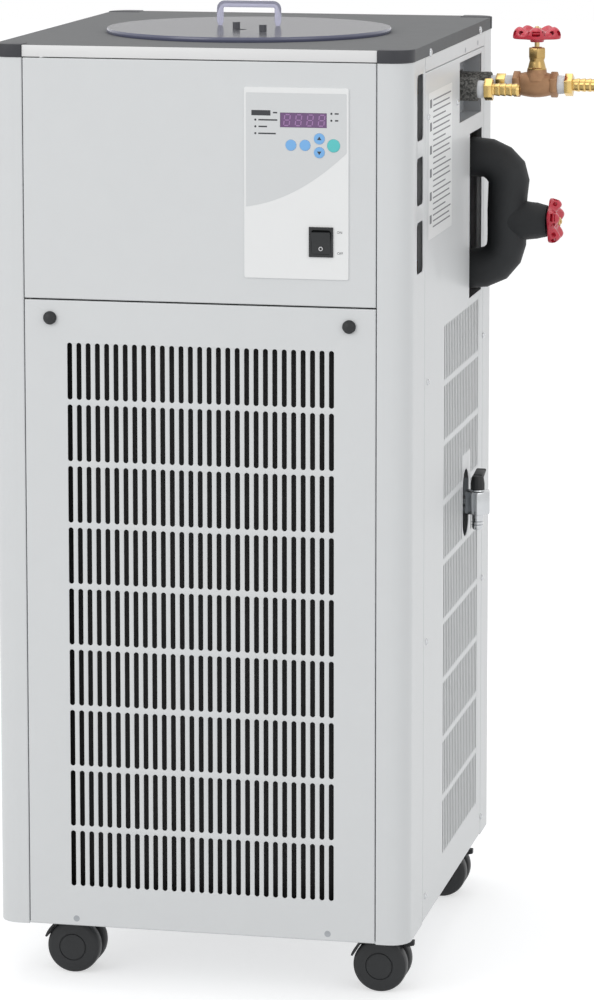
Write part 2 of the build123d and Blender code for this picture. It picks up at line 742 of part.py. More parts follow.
with BuildPart() as outlet_handwheel:
    outlet_skirt = wheel_z[1] - wheel_nut - rim_thick - wheel_z[0]
    rim_base = wheel_z[0] + outlet_skirt
    handwheel(Plane(origin=(cab_x + valve_x, front_y + outlet_y, rim_base)), rim_thick, wheel_r,
              outlet_skirt, wheel_lobes)
save(outlet_handwheel, "outlet_handwheel")

with BuildPart() as outlet_nozzle:
    nozzle(valve_span[1], nozzle_hex, nozzle_tip, outlet_y, port_z)
save(outlet_nozzle, "outlet_nozzle")

# Bypass loop: moulded foam round the pipe, with a side branch to the hand valve
with BuildPart() as bypass_foam:
    with BuildLine() as loop_route:
        FilletPolyline((cab_x + loop_inner_x, front_y + outlet_y, loop_top_z),
                       (cab_x + loop_x, front_y + outlet_y, loop_top_z),
                       (cab_x + loop_x, front_y + outlet_y, loop_low_z),
                       (cab_x + loop_inner_x, front_y + outlet_y, loop_low_z), radius=loop_bend)
    with BuildSketch(across_x(loop_inner_x, outlet_y, loop_top_z)):
        Circle(loop_r)
    sweep(path=loop_route.line)
    with BuildSketch(across_x(loop_x, outlet_y, branch_z)):
        Circle(branch_r[0])
    with BuildSketch(across_x(branch_end, outlet_y, branch_z)):
        Circle(branch_r[1])
    loft()
    with BuildSketch(across_x(loop_x + 20, outlet_y, branch_z)):
        Circle(stem_r + 0.3)
    extrude(amount=40, mode=Mode.SUBTRACT)
save(bypass_foam, "bypass_foam")

with BuildPart() as bypass_stem:
    turn(along_x(outlet_y, branch_z), ((loop_x + 26, 0), (loop_x + 26, stem_r),
                                       (bypass_wheel_x[1] - 4, stem_r), (bypass_wheel_x[1] - 4, 0)))
save(bypass_stem, "bypass_stem")

with BuildPart() as bypass_handwheel:
    bypass_skirt = bypass_wheel_x[1] - wheel_nut - rim_thick - bypass_wheel_x[0]
    handwheel(across_x(bypass_wheel_x[0] + bypass_skirt, outlet_y, branch_z), rim_thick,
              bypass_wheel_r, bypass_skirt, wheel_lobes)
save(bypass_handwheel, "bypass_handwheel")

# Drain: plated ball valve on a bracket behind the oblong hole, its lever knob, its pipe
with BuildPart() as drain_bracket:
    with BuildSketch(across_x(wall_in, 0, 0)):
        rect_between(drain_hole_y[0] - 12, drain_hole_y[1] + 12, 461.6, 501.5)
    extrude(amount=-(wall_in - drain_plate_x))
    with BuildSketch(across_x(wall_in, 0, 0)):
        rect_between(drain_hole_y[0] - 4, drain_hole_y[1] + 4, 455, 510)
    extrude(amount=-(wall_in - drain_plate_x - skin), mode=Mode.SUBTRACT)
    with BuildSketch(across_x(wall_in, drain_y, drain_mid_z)):
        Circle(pipe_r + run_gap)
    extrude(amount=-20, mode=Mode.SUBTRACT)
save(drain_bracket, "drain_bracket")

with BuildPart() as drain_valve:
    with BuildSketch(floor.offset(drain_hex_z[0])):
        with Locations((drain_x, drain_y)):
            RegularPolygon(drain_hex_af / 2, 6, major_radius=False, rotation=30)
    extrude(amount=drain_hex_z[1] - drain_hex_z[0])
    turn(upright(drain_x, drain_y), ((drain_tip_z, 0), (drain_tip_z, 5.6), (drain_tip_z + 6, 7),
                                     (drain_tip_z + 8, 6), (drain_hex_z[0], 6), (drain_hex_z[0], 0)))
    with BuildSketch(across_x(200, drain_y, drain_mid_z)):
        Circle(pipe_r)
    extrude(amount=drain_x - 200)
    with BuildSketch(floor.offset(drain_hex_z[1])):
        with Locations((drain_x, drain_y)):
            Circle(3)
    extrude(amount=10)
save(drain_valve, "drain_valve")

with BuildPart() as drain_knob:
    turn(upright(drain_x, drain_y), ((drain_knob_z[0], 3 + run_gap / 2), (drain_knob_z[0], drain_knob_r),
                                     (drain_knob_z[1] - 3, drain_knob_r),
                                     (drain_knob_z[1], drain_knob_r - 2), (drain_knob_z[1], 0),
                                     (drain_hex_z[1] + 10.5, 0), (drain_hex_z[1] + 10.5, 3 + run_gap / 2)))
    with BuildSketch(across_x(drain_x - 5.5, drain_y, 0)):
        with BuildLine():
            Polyline((0, drain_knob_z[1] - 5), (24, drain_knob_z[1] + 4), (24, drain_knob_z[1] + 8.8),
                     (0, drain_knob_z[1]), close=True)
        make_face()
    extrude(amount=11)
save(drain_knob, "drain_knob")

# Control panel plate with its window, key holes and rocker cutout
with BuildPart() as control_panel:
    with BuildSketch(front):
        rect_between(*panel_x, *panel_z)
        rect_between(*display_x, *display_z, mode=Mode.SUBTRACT)
        for key_x, key_z, key_r in key_spots.values():
            with Locations((key_x, key_z)):
                Circle(key_r, mode=Mode.SUBTRACT)
        rect_between(bezel_x[0] + 1.5, bezel_x[1] - 1.5, bezel_z[0] + 1.5, bezel_z[1] - 1.5,
                     mode=Mode.SUBTRACT)
    extrude(amount=panel_thick)
    with BuildSketch(front):
        for rib_x in (panel_x[0] + 6.2, panel_x[1] - 7.8):
            rect_between(rib_x, rib_x + 1.6, *board_z)
    extrude(amount=-board_y)
save(control_panel, "control_panel")

with BuildPart() as display_board:
    with BuildSketch(front.offset(-board_y)):
        rect_between(panel_x[0] + 6.2, panel_x[1] - 6.2, *board_z)
    extrude(amount=-board_thick)
    with BuildSketch(front.offset(-board_y)):
        rect_between(display_x[0] + seat_gap, display_x[1] - seat_gap, display_z[0] + seat_gap,
                     display_z[1] - seat_gap)
    extrude(amount=board_y + panel_thick - 0.4)
save(display_board, "display_board")

for key_name, (key_x, key_z, key_r) in key_spots.items():
    with BuildPart() as key:
        with BuildSketch(front.offset(-2.2)):
            with Locations((key_x, key_z)):
                Circle(key_r - key_play)
        extrude(amount=2.2 + panel_thick + key_proud)
        with BuildSketch(front.offset(-4.6)):
            with Locations((key_x, key_z)):
                Rectangle(6, 6)
        extrude(amount=2.4)
    save(key, key_name)

# Power rocker in its bezel, resting with the lower end pressed
bezel_mid = ((bezel_x[0] + bezel_x[1]) / 2, (bezel_z[0] + bezel_z[1]) / 2)
with BuildPart() as rocker_bezel:
    with BuildSketch(front.offset(panel_thick)):
        rect_between(*bezel_x, *bezel_z)
    extrude(amount=bezel_proud)
    with BuildSketch(front.offset(panel_thick)):
        rect_between(bezel_x[0] + 1.7, bezel_x[1] - 1.7, bezel_z[0] + 1.7, bezel_z[1] - 1.7)
    extrude(amount=-22)
    with BuildSketch(front.offset(panel_thick + bezel_proud)):
        with Locations(bezel_mid):
            Rectangle(rocker_size[0] + 2 * rocker_play, rocker_size[1] + 2 * rocker_play)
    extrude(amount=-14, mode=Mode.SUBTRACT)
save(rocker_bezel, "rocker_bezel")

pivot_y = 2
rock = math.radians(rocker_tilt)
rock_plane = Plane(origin=(cab_x + bezel_mid[0], front_y + pivot_y, bezel_mid[1]),
                   x_dir=(0, -math.sin(rock), math.cos(rock)), z_dir=(1, 0, 0))
with BuildPart() as rocker:
    with BuildSketch(rock_plane):
        reach = rocker_size[1] / 2 - 0.8
        face_at = pivot_y + panel_thick + bezel_proud
        lift = reach * math.tan(rock)
        with BuildLine():
            Polyline((-reach, -3), (-reach, face_at + lift), (0, face_at), (reach, face_at + lift),
                     (reach, -3), (0, -6), close=True)
        make_face()
    extrude(amount=rocker_size[0] / 2, both=True)
save(rocker, "rocker")

# Casters: fork, wheels and brake of each one
caster_names = {"front_left": (-1, 0), "front_right": (1, 0), "rear_left": (-1, 1), "rear_right": (1, 1)}
braked = ("front_right", "rear_right")
wheel_z_mid = wheel_d / 2
for caster, (side, row) in caster_names.items():
    stem_x = side * caster_x
    axle_x = stem_x + caster_trail
    mid_y = caster_rows_y[row]
    web = Plane(origin=(cab_x + axle_x, front_y + mid_y, wheel_z_mid), x_dir=(1, 0, 0), z_dir=(0, -1, 0))
    web_half = wheel_gap / 2 - 0.3
    with BuildPart() as fork:
        with BuildSketch(web):
            with BuildLine():
                Polyline((-caster_trail - 9, 22), (-22, 6), (-10, -10), (6, -10), (9, 14),
                         (9, wheel_z_mid + 4), (-caster_trail - 9, wheel_z_mid + 4), close=True)
            make_face()
        extrude(amount=web_half, both=True)
        with BuildSketch(web):
            with BuildLine():
                CenterArc((0, 0), wheel_z_mid + 3.6, 62, 100)
                CenterArc((0, 0), wheel_z_mid + 1.4, 62, 100)
                Line((0, 0) + Vector(wheel_z_mid + 1.4, 0).rotate(Axis.Z, 62),
                     (0, 0) + Vector(wheel_z_mid + 3.6, 0).rotate(Axis.Z, 62))
                Line((0, 0) + Vector(wheel_z_mid + 1.4, 0).rotate(Axis.Z, 162),
                     (0, 0) + Vector(wheel_z_mid + 3.6, 0).rotate(Axis.Z, 162))
            make_face()
        extrude(amount=wheel_gap / 2 + tread, both=True)
        with BuildSketch(floor.offset(wheel_z_mid + 31)):
            with Locations((stem_x, mid_y)):
                Circle(11)
        extrude(amount=stem_top_z - wheel_z_mid - 31)
        with BuildSketch(floor.offset(stem_top_z - 1)):
            with Locations((stem_x, mid_y)):
                Circle(pin_r)
        extrude(amount=pan_z - stem_top_z + 0.8)
        with BuildSketch(web):
            Circle(axle_r)
        extrude(amount=wheel_gap / 2 + tread - 1, both=True)
        if caster in braked:
            with BuildSketch(web.offset(web_half)):
                with BuildLine():
                    Polyline((6, 10), (brake_x + 3, brake_z - wheel_z_mid - 4),
                             (brake_x + 3, brake_z - wheel_z_mid + 4), (6, 26), close=True)
                make_face()
            extrude(amount=-1.2)
            with BuildSketch(web.offset(-web_half)):
                with BuildLine():
                    Polyline((6, 10), (brake_x + 3, brake_z - wheel_z_mid - 4),
                             (brake_x + 3, brake_z - wheel_z_mid + 4), (6, 26), close=True)
                make_face()
            extrude(amount=1.2)
            with BuildSketch(web):
                with Locations((brake_x, brake_z - wheel_z_mid)):
                    Circle(2)
            extrude(amount=web_half, both=True)
    save(fork, f"caster_fork_{caster}")

    with BuildPart() as wheels:
        for wheel_side in (-1, 1):
            with BuildSketch(web.offset(wheel_side * (wheel_gap + tread) / 2)):
                Circle(wheel_d / 2)
                Circle(axle_r + run_gap / 2, mode=Mode.SUBTRACT)
            extrude(amount=tread / 2, both=True)
    save(wheels, f"caster_wheels_{caster}")

    if caster in braked:
        with BuildPart() as brake:
            with BuildSketch(web):
                with BuildLine():
                    Polyline((brake_x - 2.4, brake_z - wheel_z_mid - 3), (brake_x + 4, brake_z - wheel_z_mid - 3),
                             (34, brake_z - wheel_z_mid + 1), (34, brake_z - wheel_z_mid + 6),
                             (brake_x + 2, brake_z - wheel_z_mid + 7),
                             (brake_x - 2.4, brake_z - wheel_z_mid + 3), close=True)
                make_face()
                with Locations((brake_x, brake_z - wheel_z_mid)):
                    Circle(2 + run_gap / 2, mode=Mode.SUBTRACT)
            extrude(amount=web_half - 1.3, both=True)
        save(brake, f"caster_brake_{caster}")
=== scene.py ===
import math
import bpy
import bmesh
from mathutils import Matrix, Vector, noise


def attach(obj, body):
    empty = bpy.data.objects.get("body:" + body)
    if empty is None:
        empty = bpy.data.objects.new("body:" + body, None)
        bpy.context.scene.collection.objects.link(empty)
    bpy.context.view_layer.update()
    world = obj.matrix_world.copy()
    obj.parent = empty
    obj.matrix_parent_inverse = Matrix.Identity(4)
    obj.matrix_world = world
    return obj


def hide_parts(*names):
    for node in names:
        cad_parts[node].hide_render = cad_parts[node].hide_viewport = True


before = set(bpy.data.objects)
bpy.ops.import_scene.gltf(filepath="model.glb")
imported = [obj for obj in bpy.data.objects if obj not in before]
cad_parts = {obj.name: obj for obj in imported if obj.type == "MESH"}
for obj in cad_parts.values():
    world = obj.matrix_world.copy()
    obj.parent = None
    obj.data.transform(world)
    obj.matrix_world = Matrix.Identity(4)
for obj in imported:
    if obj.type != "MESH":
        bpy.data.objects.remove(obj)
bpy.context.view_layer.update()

# Cabinet millimetres: x from the middle, y back from the front face, z up from the floor
cabinet = {"shiftX": -68.3, "shiftY": -260.25, "halfWidth": 223, "depth": 515, "bottom": 68.5,
           "sheet": 1.2, "postSheet": 1.6, "bend": 1.4}


def at(x, y, z):
    return Vector((x + cabinet["shiftX"], y + cabinet["shiftY"], z)) / 1000


def plane(origin, across, up, out):  # local millimetres to the frame
    turned = Matrix((across, up, out)).transposed().to_4x4()
    return Matrix.Translation(at(*origin)) @ turned @ Matrix.Scale(0.001, 4)


xAxis, yAxis, zAxis = Vector((1, 0, 0)), Vector((0, 1, 0)), Vector((0, 0, 1))
frontPlane = plane((0, 0, 0), xAxis, zAxis, -yAxis)
rightPlane = plane((cabinet["halfWidth"], 0, 0), yAxis, zAxis, xAxis)
leftPlane = plane((-cabinet["halfWidth"], 0, 0), yAxis, zAxis, -xAxis)


def uprightAt(x, y, z=0):
    return plane((x, y, z), xAxis, yAxis, zAxis)


def sidewaysAt(x, y, z):  # local z runs along +X
    return plane((x, y, z), yAxis, zAxis, xAxis)


def facingAt(x, y, z):  # local z runs towards the viewer
    return plane((x, y, z), xAxis, zAxis, -yAxis)


# Finishes
def tone(rgb, gain=1.0):
    made = []
    for channel in rgb:
        share = channel / 255
        linear = share / 12.92 if share <= 0.04045 else ((share + 0.055) / 1.055) ** 2.4
        made.append(min(1, gain * linear))
    return (*made, 1)


def finishMaterial(name, rgb, rough, metal=0.0, coat=0.0, spread=0.02, grain=40, bumpScale=900,
                   bumpHeight=0.00003, specular=0.5, dark=None, contrast=None):
    mat = bpy.data.materials.new(name)
    mat.use_nodes = True
    nodes, links = mat.node_tree.nodes, mat.node_tree.links
    shader = nodes["Principled BSDF"]
    shader.inputs["Roughness"].default_value = rough
    shader.inputs["Metallic"].default_value = metal
    shader.inputs["Coat Weight"].default_value = coat
    shader.inputs["Coat Roughness"].default_value = 0.12
    shader.inputs["Specular IOR Level"].default_value = specular
    coords = nodes.new("ShaderNodeTexCoord")
    cloud = nodes.new("ShaderNodeTexNoise")
    cloud.inputs["Scale"].default_value = grain
    cloud.inputs["Detail"].default_value = 4
    links.new(coords.outputs["Object"], cloud.inputs["Vector"])
    ramp = nodes.new("ShaderNodeValToRGB")
    low, high = contrast or (0.3, 0.7)
    ramp.color_ramp.elements[0].position = low
    ramp.color_ramp.elements[1].position = high
    ramp.color_ramp.elements[0].color = tone(dark) if dark else tone(rgb, 1 - spread)
    ramp.color_ramp.elements[1].color = tone(rgb, 1 + spread)
    links.new(cloud.outputs["Fac"], ramp.inputs["Fac"])
    links.new(ramp.outputs["Color"], shader.inputs["Base Color"])
    if bumpHeight:
        peel = nodes.new("ShaderNodeTexNoise")
        peel.inputs["Scale"].default_value = bumpScale
        peel.inputs["Detail"].default_value = 3
        links.new(coords.outputs["Object"], peel.inputs["Vector"])
        bump = nodes.new("ShaderNodeBump")
        bump.inputs["Strength"].default_value = 0.5
        bump.inputs["Distance"].default_value = bumpHeight
        links.new(peel.outputs["Fac"], bump.inputs["Height"])
        links.new(bump.outputs["Normal"], shader.inputs["Normal"])
    return mat


finishes = {
    "cabinet_paint": finishMaterial("cabinetPaint", (221, 223, 224), 0.42, spread=0.006, coat=0.12),
    "trim_paint": finishMaterial("trimPaint", (233, 233, 233), 0.45, spread=0.004),
    "deck_paint": finishMaterial("deckPaint", (119, 120, 121), 0.8, spread=0.02, grain=60,
                                 specular=0.08),
    "cap_plastic": finishMaterial("capPlastic", (50, 51, 56), 0.5, spread=0.02),
    "panel_film": finishMaterial("panelFilm", (241, 242, 242), 0.35, spread=0.003, bumpHeight=0),
    "panel_grey": finishMaterial("panelGrey", (219, 221, 222), 0.35, spread=0.003, bumpHeight=0),
    "display_black": finishMaterial("displayWindow", (110, 75, 122), 0.2, spread=0.05, coat=0.5,
                                    bumpHeight=0),
    "display_digit": finishMaterial("displayDigit", (168, 128, 178), 0.35, spread=0.02, bumpHeight=0),
    "key_blue": finishMaterial("keyBlue", (127, 184, 238), 0.4, spread=0.01, bumpHeight=0),
    "key_green": finishMaterial("keyGreen", (98, 204, 204), 0.4, spread=0.01, bumpHeight=0),
    "black_plastic": finishMaterial("blackPlastic", (27, 29, 31), 0.5, spread=0.06,
                                    bumpHeight=0.00004),
    "ink": finishMaterial("printInk", (52, 54, 58), 0.5, spread=0.02, bumpHeight=0),
    "rule_grey": finishMaterial("ruleGrey", (112, 114, 118), 0.5, spread=0.02, bumpHeight=0),
    "pale_ink": finishMaterial("paleInk", (214, 214, 216), 0.5, spread=0.02, bumpHeight=0),
    "stainless": finishMaterial("stainless", (150, 151, 153), 0.45, metal=1, spread=0.03,
                                bumpScale=300, bumpHeight=0.00001),
    "insulation": finishMaterial("loopFoam", (33, 35, 37), 0.62, spread=0.12, grain=22,
                                 bumpScale=160, bumpHeight=0.0004, specular=0.4),
    "sleeve_foam": finishMaterial("sleeveFoam", (122, 121, 117), 0.85, grain=420,
                                  dark=(62, 62, 60), contrast=(0.42, 0.62), bumpScale=500,
                                  bumpHeight=0.0004),
    "brass": finishMaterial("brass", (222, 190, 122), 0.24, metal=1, spread=0.05,
                            bumpScale=500, bumpHeight=0.00002),
    "brass_dark": finishMaterial("nutBrass", (190, 160, 104), 0.3, metal=1, spread=0.06,
                                 bumpScale=500, bumpHeight=0.00003),
    "bronze": finishMaterial("castBronze", (172, 132, 98), 0.5, metal=0.55, spread=0.07, grain=150,
                             bumpScale=900, bumpHeight=0.0002),
    "wheel_red": finishMaterial("wheelEnamel", (200, 40, 62), 0.34, spread=0.05, coat=0.4,
                                grain=120, bumpScale=260, bumpHeight=0.0002),
    "nickel": finishMaterial("nickelPlate", (196, 198, 200), 0.22, metal=1, spread=0.04,
                             bumpHeight=0.00001),
    "zinc_steel": finishMaterial("zincSteel", (186, 188, 190), 0.35, metal=1, spread=0.05,
                                 bumpHeight=0.00002),
    # Condenser fins are near-black and not metal instead of aluminium grey: painted shade for the dark
    # inside behind the slots
    "fin_aluminium": finishMaterial("finsPaintedShade", (9, 9, 10), 0.7, metal=0.0, spread=0.2,
                                    grain=30, bumpScale=700, bumpHeight=0.0003),
    "black_enamel": finishMaterial("compressorEnamel", (32, 33, 35), 0.35, spread=0.05),
    "copper_pipe": finishMaterial("copperPipe", (190, 120, 84), 0.3, metal=1, spread=0.1),
    "pump_grey": finishMaterial("pumpGrey", (110, 114, 118), 0.45, spread=0.05),
    "recess_paint": finishMaterial("recessPaint", (176, 180, 184), 0.4, spread=0.02),
    "steel_stem": finishMaterial("brassStem", (206, 180, 128), 0.26, metal=1, spread=0.04),
    "tape": finishMaterial("sealTape", (226, 228, 231), 0.6, spread=0.03, grain=300,
                           bumpScale=420, bumpHeight=0.0003),
    "lid_edge": finishMaterial("lidEdge", (96, 99, 122), 0.2, spread=0.03, coat=0.3, bumpHeight=0),
}


def acrylicMaterial(name, rgb, rough, bend, clear):
    mat = finishMaterial(name, rgb, rough, spread=0.01, bumpHeight=0)
    shader = mat.node_tree.nodes["Principled BSDF"]
    shader.inputs["Transmission Weight"].default_value = clear
    shader.inputs["Specular IOR Level"].default_value = 0.15
    shader.inputs["IOR"].default_value = bend
    return mat


finishes["clear_acrylic"] = acrylicMaterial("clearAcrylic", (120, 121, 126), 0.2, 1.12, 0.45)
finishes["clear_rod"] = acrylicMaterial("clearRod", (206, 206, 226), 0.08, 1.3, 0.7)
print("finishes ready")

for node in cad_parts.values():
    slotName = node.data.materials[0].name.split(".")[0]
    node.data.materials.clear()
    node.data.materials.append(finishes[slotName])


# Making pieces
def merge(target, source, matrix=None):
    if matrix is not None:
        bmesh.ops.transform(source, matrix=matrix, verts=source.verts)
    carrier = bpy.data.meshes.new("carrier")
    source.to_mesh(carrier)
    source.free()
    target.from_mesh(carrier)
    bpy.data.meshes.remove(carrier)


def piece(name, bm, slotName, body, replaced=(), matrix=None, outward=None, sharp=35, extra=()):
    if matrix is not None:
        bmesh.ops.transform(bm, matrix=matrix, verts=bm.verts)
    bmesh.ops.remove_doubles(bm, verts=bm.verts, dist=0.000004)
    bmesh.ops.recalc_face_normals(bm, faces=bm.faces)
    if outward is not None:  # open sheets: most of the area faces out
        facing = sum(f.normal.dot(outward) * f.calc_area() for f in bm.faces)
        if facing < 0:
            bmesh.ops.reverse_faces(bm, faces=bm.faces)
    mesh = bpy.data.meshes.new(name)
    bm.to_mesh(mesh)
    bm.free()
    for used in (slotName, *extra):
        mesh.materials.append(finishes[used])
    mesh.shade_smooth()
    mesh.set_sharp_from_angle(angle=math.radians(sharp))
    made = bpy.data.objects.new(name, mesh)
    bpy.context.scene.collection.objects.link(made)
    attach(made, body)
    if replaced:
        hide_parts(*replaced)
    return made


def thicken(made, sheet, rim=0.0):
    wall = made.modifiers.new("wall", "SOLIDIFY")
    wall.thickness = sheet / 1000
    wall.offset = -1
    if rim:
        edge = made.modifiers.new("edge", "BEVEL")
        edge.width = rim / 1000
        edge.segments = 1
        edge.limit_method = "ANGLE"
        edge.angle_limit = math.radians(60)
    even = made.modifiers.new("evenShading", "WEIGHTED_NORMAL")
    even.keep_sharp = True
    even.weight = 100


def soften(bm, width, segments=2, angle=30):
    bmesh.ops.remove_doubles(bm, verts=bm.verts, dist=0.003)
    bmesh.ops.recalc_face_normals(bm, faces=bm.faces)
    edges = [e for e in bm.edges
             if len(e.link_faces) == 2 and e.calc_face_angle(0) > math.radians(angle)]
    bmesh.ops.bevel(bm, geom=edges, offset=width, offset_type="OFFSET", segments=segments,
                    profile=0.5, affect="EDGES", clamp_overlap=True, material=-1)


def outline(bm, x, y, wide, high, radius, steps=16):  # a ring pulled apart into its four quarters
    ring = bmesh.ops.create_circle(bm, segments=steps, radius=1,
                                   matrix=Matrix.Rotation(math.pi / steps, 4, "Z"))["verts"]
    for v in ring:
        v.co.x = x + v.co.x * radius + math.copysign(wide / 2 - radius, v.co.x)
        v.co.y = y + v.co.y * radius + math.copysign(high / 2 - radius, v.co.y)


def fillOutlines(bm):
    bmesh.ops.triangle_fill(bm, use_beauty=True, use_dissolve=False, edges=bm.edges)


def foldEdge(bm, axis, limit, side, path):  # path: (bend radius, degrees, straight run)
    edges = [e for e in bm.edges
             if e.is_boundary and all(abs(v.co[axis] - limit) < 0.01 for v in e.verts)]
    heading = 0.0
    for radius, degrees, run in path:
        steps = max(2, round(degrees / 15)) if degrees else 0
        moves = [2 * radius * math.sin(math.radians(degrees) / steps / 2)] * steps if steps else []
        turn = math.radians(degrees) / steps / 2 if steps else 0
        moves = [(length, turn) for length in moves] + ([(run, 0)] if run else [])
        for length, half in moves:
            grown = bmesh.ops.extrude_edge_only(bm, edges=edges)["geom"]
            fresh = {g for g in grown if isinstance(g, bmesh.types.BMVert)}
            edges = [g for g in grown
                     if isinstance(g, bmesh.types.BMEdge) and all(v in fresh for v in g.verts)]
            heading += half
            for v in fresh:
                v.co[axis] += side * length * math.cos(heading)
                v.co.z -= length * math.sin(heading)
            heading += half


def turned(profile, steps=48, soft=0.0, segments=2):  # profile: (radius, along the axis)
    bm = bmesh.new()
    verts = [bm.verts.new((radius, 0, along)) for radius, along in profile]
    for a, b in zip(verts, verts[1:]):
        bm.edges.new((a, b))
    bmesh.ops.spin(bm, geom=bm.verts[:] + bm.edges[:], cent=(0, 0, 0), axis=(0, 0, 1),
                   dvec=(0, 0, 0), angle=2 * math.pi, steps=steps, use_merge=True)
    bmesh.ops.remove_doubles(bm, verts=bm.verts, dist=0.003)
    if soft:
        soften(bm, soft, segments)
    return bm


def hexagon(acrossFlats, low, high, soft=0.5, turn=0.0):
    bm = bmesh.new()
    bmesh.ops.create_cone(bm, cap_ends=True, segments=6, radius1=acrossFlats / math.sqrt(3),
                          radius2=acrossFlats / math.sqrt(3), depth=high - low,
                          matrix=Matrix.Translation((0, 0, (low + high) / 2))
                          @ Matrix.Rotation(math.radians(turn), 4, "Z"))
    soften(bm, soft)
    return bm


def block(x0, x1, y0, y1, z0, z1, soft=0.0, segments=2):
    bm = bmesh.new()
    size = Matrix.Diagonal((x1 - x0, y1 - y0, z1 - z0, 1))
    bmesh.ops.create_cube(bm, size=1, matrix=Matrix.Translation(((x0 + x1) / 2, (y0 + y1) / 2,
                                                                 (z0 + z1) / 2)) @ size)
    if soft:
        soften(bm, soft, segments)
    return bm


def tube(path, radii, steps=32, up=yAxis):  # rings along a line, bridged and closed
    bm = bmesh.new()
    loops = []
    for i, point in enumerate(path):
        before = Vector(path[max(i - 1, 0)])
        after = Vector(path[min(i + 1, len(path) - 1)])
        ahead = (after - before).normalized()
        side = up.cross(ahead).normalized()
        turnedRing = Matrix((side, ahead.cross(side), ahead)).transposed().to_4x4()
        ring = bmesh.ops.create_circle(bm, segments=steps, radius=radii[i],
                                       cap_ends=i in (0, len(path) - 1),
                                       matrix=Matrix.Translation(point) @ turnedRing)["verts"]
        members = set(ring)
        loops.append([e for e in bm.edges if all(v in members for v in e.verts)])
    for a, b in zip(loops, loops[1:]):
        bmesh.ops.bridge_loops(bm, edges=a + b)
    return bm


def carve(made, cutters):  # exact boolean, baked into the mesh
    tool = bpy.data.objects.new("tool", bpy.data.meshes.new("tool"))
    bmesh.ops.recalc_face_normals(cutters, faces=cutters.faces)
    cutters.to_mesh(tool.data)
    cutters.free()
    bpy.context.scene.collection.objects.link(tool)
    cut = made.modifiers.new("cut", "BOOLEAN")
    cut.operation = "DIFFERENCE"
    cut.solver = "EXACT"
    cut.object = tool
    bpy.context.view_layer.update()
    graph = bpy.context.evaluated_depsgraph_get()
    baked = bpy.data.meshes.new_from_object(made.evaluated_get(graph))
    made.modifiers.clear()
    old = made.data
    made.data = baked
    bpy.data.meshes.remove(old)
    bpy.data.objects.remove(tool)
    made.data.shade_smooth()
    made.data.set_sharp_from_angle(angle=math.radians(35))


# Grille and the other folded panels
slots = {"columns": 29, "rows": 9, "pitch": 9.985, "rowPitch": 65.5, "size": (5.5, 60.5),
         "top": 697.3, "shiftX": 1.1}
rowHeights = [slots["top"] - slots["size"][1] / 2 - row * slots["rowPitch"]
              for row in range(slots["rows"])]


def foldedPanel(low, high, bottom, top, holes):
    bend = cabinet["bend"]
    bm = bmesh.new()
    outline(bm, (low + high) / 2, (bottom + top) / 2, high - low - 2 * bend, top - bottom - 2 * bend,
            0, 4)
    for hole in holes:
        outline(bm, *hole)
    fillOutlines(bm)
    ends = [(0, low + bend, -1), (0, high - bend, 1), (1, bottom + bend, -1), (1, top - bend, 1)]
    for axis, limit, side in ends:
        foldEdge(bm, axis, limit, side, [(bend, 90, 6 if axis == 0 else 4)])
    return bm


grille = {"half": 187.2, "bottom": 69.2, "top": 741.6, "knobs": {"left": -159.5, "right": 159.5},
          "knobHeight": 723, "knobHole": 4.5}
middleColumn = slots["columns"] // 2
holes = [(slots["shiftX"] + (column - middleColumn) * slots["pitch"], rowHeight, *slots["size"],
          slots["size"][0] / 2, 16)
         for rowHeight in rowHeights for column in range(slots["columns"])]
holes += [(knobX, grille["knobHeight"], 2 * grille["knobHole"], 2 * grille["knobHole"],
           grille["knobHole"], 24) for knobX in grille["knobs"].values()]
thicken(piece("grillePanel", foldedPanel(-grille["half"], grille["half"], grille["bottom"],
                                         grille["top"], holes),
              "cabinet_paint", "front_grille", ["lower_front_panel"], frontPlane, -yAxis),
        cabinet["sheet"])

upper = {"half": 187.2, "bottom": 743.2, "top": 995, "window": (104.1, 870.25, 98, 186)}
thicken(piece("upperFrontPanel", foldedPanel(-upper["half"], upper["half"], upper["bottom"],
                                             upper["top"], [(*upper["window"], 0, 4)]),
              "cabinet_paint", "cabinet", ["upper_front_panel"], frontPlane, -yAxis), cabinet["sheet"])

sideVents = {"columns": 22, "first": 205, "pitch": 10, "drain": (341, 478, 39, 76),
             "patch": (319, 371, 436, 531)}
sidePanel = {"front": 85.4, "rear": 448, "bottom": 69.5, "top": 978.9,
             "recess": (360, 940, 140, 66), "loop": (396.5, 797, 79, 184)}
sideFace = [sidePanel[edge] for edge in ("front", "rear", "bottom", "top")]
sideHoles = [(*sidePanel["recess"], 0, 4), (*sidePanel["loop"], 0, 4)]
drain = sideVents["drain"]
patch = sideVents["patch"]
for rowHeight in rowHeights:
    for column in range(sideVents["columns"]):
        y = sideVents["first"] + column * sideVents["pitch"]
        high = rowHeight + slots["size"][1] / 2
        low = rowHeight - slots["size"][1] / 2
        if patch[0] < y < patch[1]:
            if low < patch[3] < high:
                low = patch[3] + 2
            elif patch[2] < rowHeight < patch[3]:
                continue
        sideHoles.append((y, (low + high) / 2, slots["size"][0], high - low,
                          slots["size"][0] / 2, 16))
sideHoles.append((*drain, drain[2] / 2, 40))
thicken(piece("sidePanelRight", foldedPanel(*sideFace, sideHoles),
              "cabinet_paint", "cabinet", ["side_panel_right"], rightPlane, xAxis), cabinet["sheet"])
thicken(piece("sidePanelLeft", foldedPanel(*sideFace, []),
              "cabinet_paint", "cabinet", ["side_panel_left"], leftPlane, -xAxis), cabinet["sheet"])
print("panels folded")

